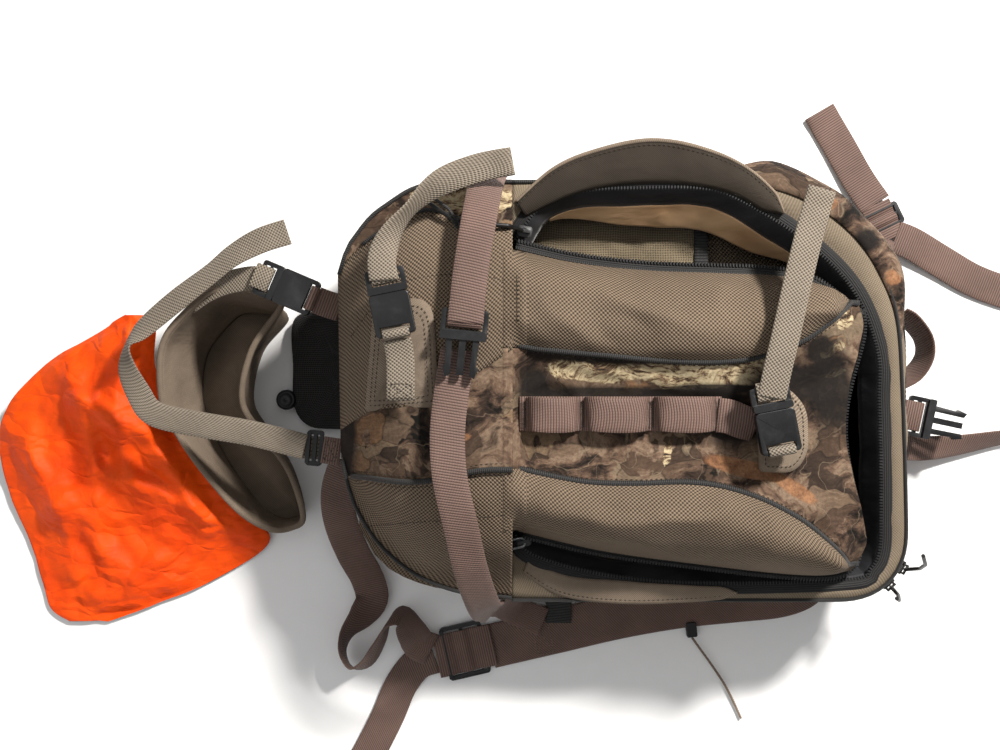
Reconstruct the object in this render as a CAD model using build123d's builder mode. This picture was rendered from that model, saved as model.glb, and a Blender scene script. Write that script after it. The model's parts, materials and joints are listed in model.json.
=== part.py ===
"""Hunting backpack lying on its back panel, with its front panel unzipped and its weapon boot folded out.

Frame, in millimetres: the origin is the centre of the back panel's rest face, +Z points out of the pack's
front, +X towards its top end (haul handle) and +Y towards its left side as it lies.
"""

import os
from math import cos, radians, sin, tan

from build123d import *

os.makedirs("parts", exist_ok=True)

# ---- driving dimensions of the bag -------------------------------------------------------------------
WALL = 3.0  # padded fabric wall
BACK_TOP = 14.0  # thickness of the padded back panel
SEAM_HEIGHT = 88.0  # camouflage rear walls below, taupe gussets above
RIM_HEIGHT = 142.0  # height of the zipped rim over the pack's centre line
RIM_TILT = 8.0  # degrees: the bag slumps towards -Y, so its rim leans that way
END_CUT = 138.0  # the end walls take everything beyond this |x|
HINGE_X = -86.0  # the front panel folds here, at the inner ends of its two zips
HINGE_Z = 197.0
FLAP_START = HINGE_X + 2.5
FLAP_FLOOR = 152.0  # underside of the front panel along its middle
PIPING_UPPER_Y = 27.0  # seams between the two pods and the centre strip
PIPING_LOWER_Y = -61.0
SLEEVE_Z = 100.0
SLEEVE_END = 150.0

# Bag outline at each height: z, low x, high x, half width, corner radius
OUTLINES = [
    (BACK_TOP, -200, 202, 134, 60),
    (48, -212, 217, 152, 76),
    (SEAM_HEIGHT, -216, 223, 160, 84),
    (130, -214, 213, 160, 84),
    (172, -204, 186, 152, 76),
]
# The four corners are not equally round: (+X +Y), (-X +Y), (-X -Y), (+X -Y)
CORNER_SHARE = (1.45, 1.13, 1.45, 0.55)
SLACK = 0.4  # air between pieces that move past each other

# ---- webbing and hardware sizes ------------------------------------------------------------------------
TAN_WIDTH = 20.0
BROWN_WIDTH = 25.0
SHOULDER_WIDTH = 38.0
ADJUSTER_WIDTH = 28.0
WEB = 1.6  # webbing thickness
CORD = 3.0  # paracord of the zip pulls
THIN_CORD = 2.0

made = {}


def keep(name, shape):
    """Labels a finished piece and writes it."""
    shape.label = name
    made[name] = shape
    export_step(shape, f"parts/{name}.step")


# ======================================================================================================
# Bag body
# ======================================================================================================
def outline(low, high, half, radius, inset):
    """Rectangle with its own radius at each corner, drawn into the open sketch."""
    corners = [(high, half), (low, half), (low, -half), (high, -half)]
    with BuildSketch(mode=Mode.PRIVATE) as shape:
        with BuildLine():
            Polyline(*corners, close=True)
        make_face()
        for corner, share in zip(corners, CORNER_SHARE):
            fillet(shape.vertices().sort_by_distance((*corner, 0))[0], radius * share - inset)
    add(shape.sketch)


def bag(inset):
    """The bag's outer form, every outline drawn in by inset."""
    with BuildPart() as form:
        for z, low, high, half, radius in OUTLINES:
            with BuildSketch(Plane.XY.offset(z)):
                outline(low + inset, high - inset, half - inset, radius, inset)
        loft()
    return form.part


def rim_plane(lift=0.0):
    """The leaning plane of the zipped rim, raised by lift."""
    return Plane.XY.offset(RIM_HEIGHT + lift).rotated((RIM_TILT, 0, 0))


def rim_z(y, lift=0.0):
    """Height of the rim plane at a place across the pack."""
    return RIM_HEIGHT + lift + y * tan(radians(RIM_TILT))


def cut_walls(lower, upper):
    """The bag's wall between two planes, as left, right, bottom-end and top-end panels."""
    with BuildPart() as band:
        add(bag(0))
        add(bag(WALL), mode=Mode.SUBTRACT)
        if lower is not None:
            split(bisect_by=lower, keep=Keep.TOP)
        split(bisect_by=upper, keep=Keep.BOTTOM)
    panels = {}
    for side, plane in (("top", Plane.YZ.offset(END_CUT)), ("bottom", Plane.YZ.offset(-END_CUT))):
        with BuildPart() as end:
            add(band.part)
            split(bisect_by=plane, keep=Keep.TOP if side == "top" else Keep.BOTTOM)
        panels[side] = end.part
    for side, kept in (("left", Keep.BOTTOM), ("right", Keep.TOP)):
        with BuildPart() as long_side:
            add(band.part)
            split(bisect_by=Plane.YZ.offset(END_CUT), keep=Keep.BOTTOM)
            split(bisect_by=Plane.YZ.offset(-END_CUT), keep=Keep.TOP)
            split(bisect_by=Plane.XZ, keep=kept)
        panels[side] = long_side.part
    return panels


for side, panel in cut_walls(None, Plane.XY.offset(SEAM_HEIGHT)).items():
    keep(f"rear_wall_{side}", panel)
for side, panel in cut_walls(Plane.XY.offset(SEAM_HEIGHT), rim_plane()).items():
    keep(f"front_gusset_{side}", panel)

# Padded back panel: flat rest face with four air channels sunk into it.
CHANNEL_DEPTH = 4.0
with BuildPart() as back_panel:
    with BuildSketch():
        outline(-200, 202, 134, 60, 0)
    extrude(amount=BACK_TOP)
    with BuildSketch():
        with GridLocations(0, 66, 1, 4):
            SlotOverall(300, 16)
    extrude(amount=CHANNEL_DEPTH, mode=Mode.SUBTRACT)
keep("back_panel", back_panel.part)

# Lumbar pad sticking out below the bottom end, with the round cap of its strap anchor.
with BuildPart() as lumbar_pad:
    with BuildSketch(Plane.XY.offset(2)):
        with BuildLine():
            Polyline((-196, 66), (-262, 66), (-272, 52), (-270, -18), (-256, -34), (-196, -34), close=True)
        make_face()
    extrude(amount=17)
    add(bag(-SLACK), mode=Mode.SUBTRACT)
    add(back_panel.part, mode=Mode.SUBTRACT)
    with BuildSketch(Plane.XY.offset(8)):
        with Locations((-276, -9)):
            Circle(8.5)
    extrude(amount=13)
keep("lumbar_pad", lumbar_pad.part.solids().sort_by(SortBy.VOLUME)[-1])

# Hydration sleeve: the divider hangs from the side seams and stops short of the top end.
with BuildPart() as hydration_sleeve:
    add(bag(WALL))
    split(bisect_by=Plane.XY.offset(SLEEVE_Z), keep=Keep.TOP)
    split(bisect_by=Plane.XY.offset(SLEEVE_Z + 2), keep=Keep.BOTTOM)
    split(bisect_by=Plane.YZ.offset(SLEEVE_END), keep=Keep.BOTTOM)
keep("hydration_sleeve", hydration_sleeve.part)

MESH_X, MESH_Y = (-92, 62), (12, 142)
with BuildPart() as mesh_pocket:
    with BuildSketch(Plane.XY.offset(SLEEVE_Z + 2)):
        with Locations(((MESH_X[0] + MESH_X[1]) / 2, (MESH_Y[0] + MESH_Y[1]) / 2)):
            RectangleRounded(MESH_X[1] - MESH_X[0], MESH_Y[1] - MESH_Y[0], 10)
    extrude(amount=11)
    fillet(mesh_pocket.edges().group_by(Axis.Z)[-1], 8)
    with BuildSketch(Plane.XY.offset(SLEEVE_Z + 3.5)):
        with Locations(((MESH_X[0] + MESH_X[1]) / 2 + 6, (MESH_Y[0] + MESH_Y[1]) / 2)):
            Rectangle(MESH_X[1] - MESH_X[0], MESH_Y[1] - MESH_Y[0] - 16)
    extrude(amount=8, mode=Mode.SUBTRACT)
keep("mesh_pocket", mesh_pocket.part)


# Fixed lower part of the front: a padded crown from the pack's bottom end to the fold of the front panel.
def crown(shrink):
    """Closed crown over the rim plane. Sections run across the pack; shrink draws them in."""
    stations = [  # x, low y, high y, height over the rim's chord at each sixth
        (HINGE_X - 2, -158, 153, (44, 58, 46, 46, 30)),
        (-140, -149, 151, (42, 54, 44, 44, 28)),
        (-178, -122, 136, (30, 40, 36, 34, 22)),
        (-200, -92, 110, (10, 14, 12, 12, 8)),
    ]
    with BuildPart() as form:
        for x, low, high, heights in stations:
            low, high = low + shrink, high - shrink
            base = [(low, rim_z(low, -shrink / 2)), (high, rim_z(high, -shrink / 2))]
            ridge = []
            for step, height in enumerate(heights, 1):
                y = low + (high - low) * step / (len(heights) + 1)
                ridge.append((y, rim_z(y) + max(height - shrink, 2)))
            with BuildSketch(Plane.YZ.offset(x)):
                with BuildLine():
                    Spline(base[0], *ridge, base[1])
                    Line(base[1], base[0])
                make_face()
        loft()
    return form.part


with BuildPart() as lower_front_panel:
    add(crown(0))
    add(crown(7), mode=Mode.SUBTRACT)
    split(bisect_by=rim_plane(), keep=Keep.TOP)
keep("lower_front_panel", lower_front_panel.part.solids().sort_by(SortBy.VOLUME)[-1])

# ======================================================================================================
# Front panel: unzipped clamshell with two pods and a centre strip
# ======================================================================================================
FLAP_EDGE = [
    (FLAP_START, 106), (14, 90), (108, 86), (152, 74), (171, 52), (160, 0),
    (158, -32), (166, -72), (176, -110), (172, -136), (112, -136), (52, -129), (FLAP_START, -104),
]
UPPER_TOP = [(112, 160), (88, 168), (76, 190), (56, 199), (38, 197), (PIPING_UPPER_Y, 187)]
VALLEY = [(PIPING_UPPER_Y, 187), (16, 176), (-8, 173), (-40, 173), (PIPING_LOWER_Y, 181)]
LOWER_TOP = [(PIPING_LOWER_Y, 181), (-78, 193), (-100, 192), (-120, 176), (-136, 150), (-142, 124)]
FLAP_CROWN = [(FLAP_START - 1, 196), (20, 202), (120, 199), (178, 172)]


def flap_block():
    """Everything inside the front panel's edge, domed along its length."""
    with BuildPart() as block:
        with BuildSketch(Plane.XY.offset(110)):
            with BuildLine():
                Polyline(*FLAP_EDGE, close=True)
            make_face()
        extrude(amount=100)
        with BuildSketch(Plane.XZ):
            with BuildLine():
                Spline(*FLAP_CROWN)
                Polyline(FLAP_CROWN[-1], (178, 108), (FLAP_START - 1, 108), FLAP_CROWN[0])
            make_face()
        extrude(amount=170, both=True, mode=Mode.INTERSECT)
    return block.part


def flap_strip(outer, inner, piping=None):
    """One strip of the front panel, between an outer and an inner line, with its piping if it has one."""
    with BuildPart() as strip:
        with BuildSketch(Plane.YZ.offset(FLAP_START - 1)):
            with BuildLine():
                Spline(*outer)
                Polyline(outer[-1], *inner, outer[0])
            make_face()
        extrude(amount=280)
        if piping is not None:
            with BuildSketch(Plane.YZ.offset(FLAP_START - 1)):
                with Locations(piping):
                    Circle(2.2)
            extrude(amount=280)
        add(flap_block(), mode=Mode.INTERSECT)
    return strip.part.solids().sort_by(SortBy.VOLUME)[-1]


keep("front_pod_upper", flap_strip(UPPER_TOP, [(PIPING_UPPER_Y, FLAP_FLOOR), (80, 155), (112, 156)],
                                   (PIPING_UPPER_Y + 2.4, 189)))
keep("front_center_strip", flap_strip(VALLEY, [(PIPING_LOWER_Y, FLAP_FLOOR), (PIPING_UPPER_Y, FLAP_FLOOR)]))
keep("front_pod_lower", flap_strip(LOWER_TOP, [(-138, 121), (-124, 132), (-106, 148),
                                               (PIPING_LOWER_Y, FLAP_FLOOR)], (PIPING_LOWER_Y - 2.4, 183)))

# Daisy chain: a base tape with loops of webbing standing off it between bar tacks.
DAISY_Y = -16.0
DAISY_Z = 174.4
TACKS = [-78, -36, 14, 62]
LOOP_RISE = 8.5
with BuildPart() as daisy_chain:
    with BuildSketch(Plane.XY.offset(DAISY_Z)):
        with Locations(((TACKS[0] + TACKS[-1]) / 2, DAISY_Y)):
            Rectangle(TACKS[-1] - TACKS[0] + 6, BROWN_WIDTH)
    extrude(amount=1.4)
    for start, end in zip(TACKS, TACKS[1:]):
        rise = DAISY_Z + 1.4 + WEB / 2
        with BuildSketch(Plane.XZ.offset(-DAISY_Y)):
            with BuildLine():
                FilletPolyline(
                    (start + 1, rise), (start + 6, rise), (start + 10, rise + LOOP_RISE),
                    (end - 10, rise + LOOP_RISE), (end - 6, rise), (end - 1, rise), radius=2.5,
                )
            trace(line_width=WEB)
        extrude(amount=BROWN_WIDTH / 2, both=True)
keep("daisy_chain", daisy_chain.part)


# ======================================================================================================
# Zips
# ======================================================================================================
TAPE = 2.4
OPENING = [
    (HINGE_X, 112), (-66, 138), (-37, 149), (7, 151), (50, 151), (76, 145), (128, 114), (167, 77),
    (188, 31), (191, -7), (194, -51), (196, -96), (196, -122), (190, -136), (172, -146), (55, -149),
    (-18, -142), (-72, -126), (HINGE_X, -109),
]


def plan_prism(points, grow, low, high):
    """Prism over a plan outline that is grown or shrunk sideways."""
    with BuildPart() as prism:
        with BuildSketch(Plane.XY.offset(low)):
            with BuildLine():
                Polyline(*points, close=True)
            make_face()
            if grow:
                offset(amount=grow, kind=Kind.INTERSECTION, mode=Mode.REPLACE)
        extrude(amount=high - low)
    return prism.part


# Margin of gusset cloth between the bag's rim and the zip, with the body half of the front zip on its edge.
with BuildPart() as rim_teeth:
    add(plan_prism(OPENING, 0.4, 60, 220))
    add(plan_prism(OPENING, -TAPE, 60, 220), mode=Mode.SUBTRACT)
    split(bisect_by=rim_plane(-4), keep=Keep.TOP)
    split(bisect_by=rim_plane(2.6), keep=Keep.BOTTOM)
    split(bisect_by=Plane.YZ.offset(HINGE_X + 17), keep=Keep.TOP)
with BuildPart() as rim_margin:
    add(bag(WALL))
    split(bisect_by=rim_plane(-3), keep=Keep.TOP)
    split(bisect_by=rim_plane(-0.2), keep=Keep.BOTTOM)
    split(bisect_by=Plane.YZ.offset(HINGE_X + 0.5), keep=Keep.TOP)
    add(plan_prism(OPENING, 0, 60, 220), mode=Mode.SUBTRACT)
    add(rim_teeth.part)
keep("rim_margin", rim_margin.part.solids().sort_by(SortBy.VOLUME)[-1])

with BuildPart() as flap_zip:
    add(plan_prism(FLAP_EDGE, 2.2, 60, 220))
    add(plan_prism(FLAP_EDGE, 0, 60, 220), mode=Mode.SUBTRACT)
    split(bisect_by=rim_plane(2), keep=Keep.TOP)
    split(bisect_by=rim_plane(9), keep=Keep.BOTTOM)
    split(bisect_by=Plane.YZ.offset(FLAP_START + 3), keep=Keep.TOP)
keep("flap_zip", flap_zip.part)

# Main compartment zip, closed: it runs round the seam between rear walls and gussets.
MAIN_ZIP_HALF = 5.0
with BuildPart() as main_zip:
    add(bag(-1.6))
    add(bag(-0.1), mode=Mode.SUBTRACT)
    split(bisect_by=Plane.XY.offset(SEAM_HEIGHT - MAIN_ZIP_HALF), keep=Keep.TOP)
    split(bisect_by=Plane.XY.offset(SEAM_HEIGHT + MAIN_ZIP_HALF), keep=Keep.BOTTOM)
    split(bisect_by=Plane.YZ.offset(-150), keep=Keep.TOP)
keep("main_zip", main_zip.part.solids().sort_by(SortBy.VOLUME)[-1])


def turned(x, y, z, heading):
    """A level plane whose x points along heading, in degrees from +X."""
    return Plane(origin=(x, y, z), x_dir=(cos(radians(heading)), sin(radians(heading)), 0), z_dir=(0, 0, 1))


def zip_slider(where, cord_route=None):
    """Zip slider: two plates, a neck, a bridge and, if it has one, the paracord tied into the bridge."""
    with BuildPart() as slider:
        with BuildSketch(where):
            RectangleRounded(11, 8, 2.4)
        extrude(amount=1.4)
        with BuildSketch(where.offset(3.6)):
            RectangleRounded(11, 8, 2.4)
        extrude(amount=1.4)
        with BuildSketch(where.offset(1)):
            with Locations((3.6, 0)):
                Circle(1.5)
        extrude(amount=3)
        with BuildSketch(where.offset(4.6)):
            with Locations((-3.6, 0), (3.2, 0)):
                Rectangle(1.6, 2.6)
        extrude(amount=3.2)
        with BuildSketch(where.offset(7.4)):
            Rectangle(8.6, 2.6)
        extrude(amount=1.4)
        if cord_route is not None:
            with BuildLine() as path:
                FilletPolyline(*[where.from_local_coords(p) for p in cord_route], radius=4)
            with BuildSketch(Plane(origin=path.line @ 0, z_dir=path.line % 0)):
                Circle(CORD / 2)
            sweep(path=path.line)
    return slider.part


SLIDER_UPPER = turned(-77, 117, 161, -9)
SLIDER_LOWER = turned(-77, -114, 127, 14)
PULL_CORD = [(-2, 0, 8), (-12, 0, 24), (-31, -2, 26), (-50, -3, 24.5), (-73, 9, 17)]
keep("slider_upper", zip_slider(SLIDER_UPPER, PULL_CORD))
keep("slider_lower", zip_slider(SLIDER_LOWER))

# Metal ring pull of the lower slider, through its bridge.
with BuildPart() as ring_pull:
    with BuildSketch(SLIDER_LOWER.offset(5.55)):
        with Locations((-6.9, 0)):
            SlotOverall(17, 8.4)
            SlotOverall(13.6, 5.0, mode=Mode.SUBTRACT)
    extrude(amount=1.3)
keep("ring_pull_lower", ring_pull.part)

# The main zip's two sliders sit in the corner arc, so they travel round the arc's centre.
ARC_RADIUS = OUTLINES[2][4] * CORNER_SHARE[3]
ARC_CENTER = (OUTLINES[2][2] - ARC_RADIUS, -OUTLINES[2][3] + ARC_RADIUS)


def corner_plane(angle):
    """Slider plane on the outside of the corner arc, its x along the zip and its z pointing outwards."""
    out = (cos(radians(angle)), sin(radians(angle)), 0)
    reach = ARC_RADIUS + 2.4
    origin = (ARC_CENTER[0] + reach * out[0], ARC_CENTER[1] + reach * out[1], SEAM_HEIGHT)
    return Plane(origin=origin, x_dir=(-out[1], out[0], 0), z_dir=out)


CORNER_PULL_TOP = [(0, -1, 8), (6, 18, 11), (10, 38, 6), (14, 58, -6)]
CORNER_PULL_SIDE = [(0, -1, 8), (-2, 16, 11), (-6, 32, 9), (-8, 46, 2)]
keep("slider_corner_top", zip_slider(corner_plane(-30), CORNER_PULL_TOP))
keep("slider_corner_side", zip_slider(corner_plane(-48), CORNER_PULL_SIDE))


# ======================================================================================================
# Webbing
# ======================================================================================================
def strap(route, width, thickness=WEB):
    """Webbing along (x, y, z, tilt) points: tilt 0 lies flat, 90 is on edge; a fifth value is a width."""
    points = [Vector(*p[:3]) for p in route]
    last = len(points) - 1
    with BuildPart() as web:
        for i, place in enumerate(route):
            ahead = (points[min(i + 1, last)] - points[min(i, last - 1)]).normalized()
            behind = (points[max(i, 1)] - points[max(i - 1, 0)]).normalized()
            along = (ahead + behind).normalized()
            level = Vector(0, 0, 1).cross(along).normalized()
            across = level.rotate(Axis((0, 0, 0), along), place[3])
            with BuildSketch(Plane(origin=points[i], x_dir=across, z_dir=along)):
                Rectangle(place[4] if len(place) > 4 else width, thickness)
        loft(ruled=True)
    return web.part


COMPRESSION_UPPER = [(-101, 163, 160, 0), (-105, 148, 187, 0), (-110, 120, 204, 0), (-116, 80, 209.4, 0),
                     (-119, 48, 210, 0)]
COMPRESSION_LOWER = [(-124, 30, 201.5, 0), (-130, -6, 200, 0), (-132, -34, 202, 0), (-130, -62, 203, 0),
                     (-123, -94, 198, 0), (-116, -128, 182, 0), (-107, -160, 150, 0), (-102, -170, 116, 0),
                     (-98, -174, 80, 2), (-92, -180, 40, 6), (-80, -190, 9, 4), (-58, -199, 8, 0)]
STOCK_TAIL = [(-176, 78, 210, 0), (-177, 94, 211, 10), (-170, 112, 209, 50), (-158, 128, 206, 70),
              (-146, 141, 202, 50), (-130, 151, 199, 20), (-108, 159, 197, 6), (-86, 163, 197, 0)]
STOCK_ANCHOR = [(-167, 37, 206.5, 0), (-165, 22, 202, 0), (-165, -6, 199, 0)]
BARREL_TAIL = [(95, -4, 206.4, 0), (98, 14, 209, 0), (104, 42, 212, 0), (112, 78, 212, 0),
               (121, 112, 209, 0),
               (130, 142, 206, 0)]
BARREL_ANCHOR = [(102, -45, 203.6, 0), (103.4, -53, 197, 0), (104, -53, 188, 0), (104, -44, 182, 0)]
BOOT_STRAP = [(-258, 122, 118, 0), (-279, 115, 119, 8), (-300, 104, 117, 26), (-318, 90, 114, 32),
              (-346, 69, 111, 24), (-372, 48, 107, 34), (-384, 36, 106, 66), (-385, 18, 106, 34),
              (-376, -2, 106, 8), (-364, -18, 105, 0), (-332, -26, 103, 0), (-292, -33, 102, 0),
              (-262, -40, 103, 0), (-247, -44, 104, 0)]
BOOT_TAB_UPPER = [(-237, 70, 110.5, 0), (-229, 67, 108, 0), (-219, 64, 106, 0)]
BOOT_TAB_LOWER = [(-233, -46, 104, 0), (-227, -47, 105, 0), (-219, -48, 106, 0)]
SHOULDER_STRAP = [(166, -158, 22, 30), (158, -168, 17, 16), (140, -176, 10, 4), (108, -181, 3.2, 0),
                  (60, -186, 3.2, 0), (8, -195, 3, 0), (-44, -207, 3, 0), (-103, -220.6, 3, 0)]
ADJUSTER = [(-220, -59, 54, 0, 20), (-227, -77, 48, 0), (-229, -94, 44, 0), (-226, -114, 38, 0),
            (-218, -138, 26, 0), (-208, -160, 14, 0), (-204, -178, 11, -12), (-212, -192, 14, -35),
            (-224, -206, 17, -65), (-228, -222, 18, -86), (-221, -236, 18, -100), (-208, -232, 19, -112),
            (-197, -214, 22, -108), (-189, -196, 26, -90), (-178, -190, 28, -62), (-170, -204, 24, -35),
            (-163, -217, 14, -10), (-154, -222, 8.6, 0)]
SHOULDER_TAIL = [(-151, -230, 3.2, 0), (-166, -236, 2.4, 0), (-180, -254, 1.8, 0), (-191, -280, 1.6, 0),
                 (-204, -306, 1.4, 0), (-214, -324, 1.4, 0)]
LEFT_STRAP = [(243, 130, 6.4, 0), (258, 124, 6, 0), (284, 109, 3, 0), (310, 94, 1.8, 0), (336, 84, 1.4, 0),
              (358, 78, 1.4, 0)]
LEFT_TAIL = [(226, 158, 6, 0), (212, 180, 3, 0), (196, 209, 1.8, 0), (179, 238, 1.4, 0)]
LEFT_LOOP = [(205, 98, 50, 10), (219, 105, 42, 10), (226, 117, 28, 10), (230, 128, 14, 0)]
STERNUM_WEB = [(222, -19, 56, 0), (229, -20, 52.6, 0), (237, -21, 49.4, 0)]
STERNUM_TAIL = [(218, -46, 42, 0), (236, -48, 30, 0), (262, -50, 19, 6), (292, -48, 13, 30),
                (322, -43, 12, 46), (346, -39, 12, 55)]
STORM_UPPER = [(-80, 133, 165, 8, 10), (-51, 152, 168, 8, 20), (-22, 162, 169, 8, 24), (15, 167, 170, 8, 28),
               (51, 163, 169, 8, 24), (82, 152, 168, 8, 18), (112, 130, 165, 8, 10)]
STORM_LOWER = [(-76, -134, 126.5, 8, 8), (-45, -149, 124.6, 8, 14), (0, -154, 124.6, 8, 15),
               (45, -155, 124.4, 8, 11), (86, -154, 124.4, 8, 6)]
HAUL_LOOP = [(229, 60, 62, 60), (238, 56, 61, 66), (250, 42, 57, 70), (252, 27, 54, 70), (244, 13, 50, 64),
             (230, 6, 47, 56)]

STRAPS = {
    "compression_strap_upper": (COMPRESSION_UPPER, BROWN_WIDTH),
    "compression_strap_lower": (COMPRESSION_LOWER, BROWN_WIDTH),
    "stock_strap_tail": (STOCK_TAIL, TAN_WIDTH),
    "barrel_strap_tail": (BARREL_TAIL, TAN_WIDTH),
    "boot_strap": (BOOT_STRAP, TAN_WIDTH),
    "boot_tab_upper": (BOOT_TAB_UPPER, BROWN_WIDTH - 4),
    "boot_tab_lower": (BOOT_TAB_LOWER, BROWN_WIDTH - 4),
    "shoulder_strap_right": (SHOULDER_STRAP, SHOULDER_WIDTH),
    "adjuster_web_right": (ADJUSTER, ADJUSTER_WIDTH),
    "adjuster_tail_right": (SHOULDER_TAIL, ADJUSTER_WIDTH),
    "shoulder_strap_left": (LEFT_STRAP, ADJUSTER_WIDTH),
    "adjuster_tail_left": (LEFT_TAIL, ADJUSTER_WIDTH),
    "ladder_loop_left": (LEFT_LOOP, TAN_WIDTH),
    "sternum_web": (STERNUM_WEB, BROWN_WIDTH),
    "sternum_tail": (STERNUM_TAIL, BROWN_WIDTH - 4),
    "storm_flap_upper": (STORM_UPPER, 20),
    "storm_flap_lower": (STORM_LOWER, 12),
    "haul_handle": (HAUL_LOOP, BROWN_WIDTH),
}
for name, (route, width) in STRAPS.items():
    keep(name, strap(route, width))


# ======================================================================================================
# Buckles and ladder locks
# ======================================================================================================
def buckle_female(where, width):
    """Side-release housing: its mouth is at the plane's origin and its webbing bar at -x."""
    k = width / TAN_WIDTH
    length = 1.5 * width
    half = width / 2 + 4
    with BuildPart() as housing:
        with BuildSketch(where):
            with Locations((-length / 2, 0)):
                RectangleRounded(length, 2 * half, 3)
        extrude(amount=9)
        with BuildSketch(where.offset(1.8)):
            with Locations(((-length + 8 * k) / 2, 0)):
                Rectangle(length - 8 * k, width + 1)
            with Locations((-length + 13 * k, 0)):
                Rectangle(8 * k, 2 * half + 2)
        extrude(amount=5.4, mode=Mode.SUBTRACT)
        with BuildSketch(where):
            with Locations((-length + 5 * k, 0)):
                Rectangle(3.6 * k, width + 1)
        extrude(amount=9, mode=Mode.SUBTRACT)
    return housing.part


def buckle_male(where, width):
    """Side-release prongs: they reach into the housing at -x and the ladder bars are at +x."""
    k = width / TAN_WIDTH
    reach = 1.5 * width - 9 * k
    half = width / 2 + 4
    edge = width / 2 - 0.1
    with BuildPart() as prongs:
        with BuildSketch(where.offset(0.6)):
            with Locations((0.4 + 2.4 * k, 0)):
                RectangleRounded(4.8 * k, 2 * half, 1.5)
        extrude(amount=7.8)
        with BuildSketch(where.offset(2.4)):
            with Locations((-reach / 2 + 1.5, 0)):
                Rectangle(reach - 1, 4.8)
            for side in (1, -1):
                with BuildLine():
                    Polyline(
                        (1, side * (edge - 0.6)), (-reach + 7 * k, side * (edge - 1.6)),
                        (-reach + 6 * k, side * edge),
                        (-reach, side * (edge - 2)), (-reach + 2, side * (edge - 5.6)),
                        (-reach + 8 * k, side * (edge - 5.6)), (1, side * (edge - 5.2)), close=True,
                    )
                make_face()
        extrude(amount=4.2)
        with BuildSketch(where.offset(1)):
            with Locations((10.5 * k, 0)):
                RectangleRounded(14 * k, 2 * half, 2.5)
            for bar in (7.6, 13):
                with Locations((bar * k, 0)):
                    Rectangle(3.4 * k, width + 1, mode=Mode.SUBTRACT)
        extrude(amount=4)
    return prongs.part


def ladder_lock(where, width, length):
    """Flat frame with a middle bar and a raised lip at the end where the webbing is pulled."""
    half = width / 2 + 4
    slot = length / 2 - 4.5
    with BuildPart() as lock:
        with BuildSketch(where):
            RectangleRounded(length, 2 * half, 3)
            for side in (1, -1):
                with Locations((side * (slot / 2 + 1.5), 0)):
                    Rectangle(slot, width + 1, mode=Mode.SUBTRACT)
        extrude(amount=4)
        with BuildSketch(where.offset(4)):
            with Locations((-length / 2 + 1.5, 0)):
                Rectangle(3, 2 * half - 4)
        extrude(amount=2)
    return lock.part


STOCK_PLANE = turned(-173, 69, 203, 101.5)
BARREL_PLANE = turned(96.5, -13, 200, 101)
BOOT_PLANE = turned(-266, 82, 106, 157)
COMPRESSION_PLANE = turned(-121, 36, 203.6, 84.5)
STERNUM_PLANE = turned(261, -25, 43, 168)

keep("stock_buckle_female", buckle_female(STOCK_PLANE, TAN_WIDTH))
keep("stock_buckle_male", buckle_male(STOCK_PLANE, TAN_WIDTH))
keep("barrel_buckle_female", buckle_female(BARREL_PLANE, TAN_WIDTH))
keep("barrel_buckle_male", buckle_male(BARREL_PLANE, TAN_WIDTH))
keep("compression_buckle_male", buckle_male(COMPRESSION_PLANE, BROWN_WIDTH))
keep("sternum_buckle_male", buckle_male(STERNUM_PLANE, BROWN_WIDTH))

with BuildPart() as boot_buckle:
    add(buckle_female(BOOT_PLANE, TAN_WIDTH))
    add(buckle_male(BOOT_PLANE, TAN_WIDTH))
    with BuildSketch(BOOT_PLANE.offset(0.6)):
        Rectangle(3, TAN_WIDTH)
    extrude(amount=7.8)
keep("boot_buckle", boot_buckle.part)
keep("boot_ladder_lock", ladder_lock(turned(-240, -45, 97, -5), TAN_WIDTH, 13))
keep("ladder_lock_right", ladder_lock(turned(-125, -224, 0.6, 13), SHOULDER_WIDTH, 36))
keep("ladder_lock_left", ladder_lock(turned(232, 145, 0.6, -64), ADJUSTER_WIDTH, 20))

# ======================================================================================================
# Pouches
# ======================================================================================================
with BuildPart() as stock_pouch_flap:
    with BuildSketch(Plane.XY.offset(120)):
        with BuildLine():
            Polyline((-188, -14), (-186, 33), (-140, 60), (-141, -9), close=True)
        make_face()
    extrude(amount=100)
    add(crown(-5), mode=Mode.INTERSECT)
    add(crown(-0.2), mode=Mode.SUBTRACT)
keep("stock_pouch_flap", stock_pouch_flap.part.solids().sort_by(SortBy.VOLUME)[-1])
keep("stock_strap_anchor", strap(STOCK_ANCHOR, TAN_WIDTH))

with BuildPart() as barrel_pouch:
    with BuildSketch(Plane.XY.offset(175.6)):
        with BuildLine():
            Polyline((89, -1), (119, -1), (126, -32), (119, -46), (91, -46), close=True)
        make_face()
    extrude(amount=13)
    fillet(barrel_pouch.edges().group_by(Axis.Z)[-1], 4)
    add(strap(BARREL_ANCHOR, TAN_WIDTH))
keep("barrel_pouch", barrel_pouch.part)

# ======================================================================================================
# Weapon boot and its blaze cover, folded out beyond the bottom end
# ======================================================================================================
BOOT_RIM = [
    (-264, 74), (-285, 83), (-318, 84), (-345, 66), (-368, 38), (-374, -8), (-364, -40), (-346, -73),
    (-318, -112), (-286, -130), (-264, -128), (-250, -112), (-262, -68), (-285, -36), (-300, -8), (-290, 34),
]
BOOT_FLOOR = [
    (-276, 60), (-290, 66), (-315, 66), (-334, 50), (-348, 28), (-352, -8), (-342, -38), (-326, -68),
    (-304, -98), (-286, -112), (-270, -112), (-262, -104), (-272, -68), (-292, -36), (-306, -8), (-298, 32),
]
BOOT_RIM_PLANE = Plane(origin=(-365, -40, 68), z_dir=(0.15, -0.28, 1))
BOOT_WALL = 2.6


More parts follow.
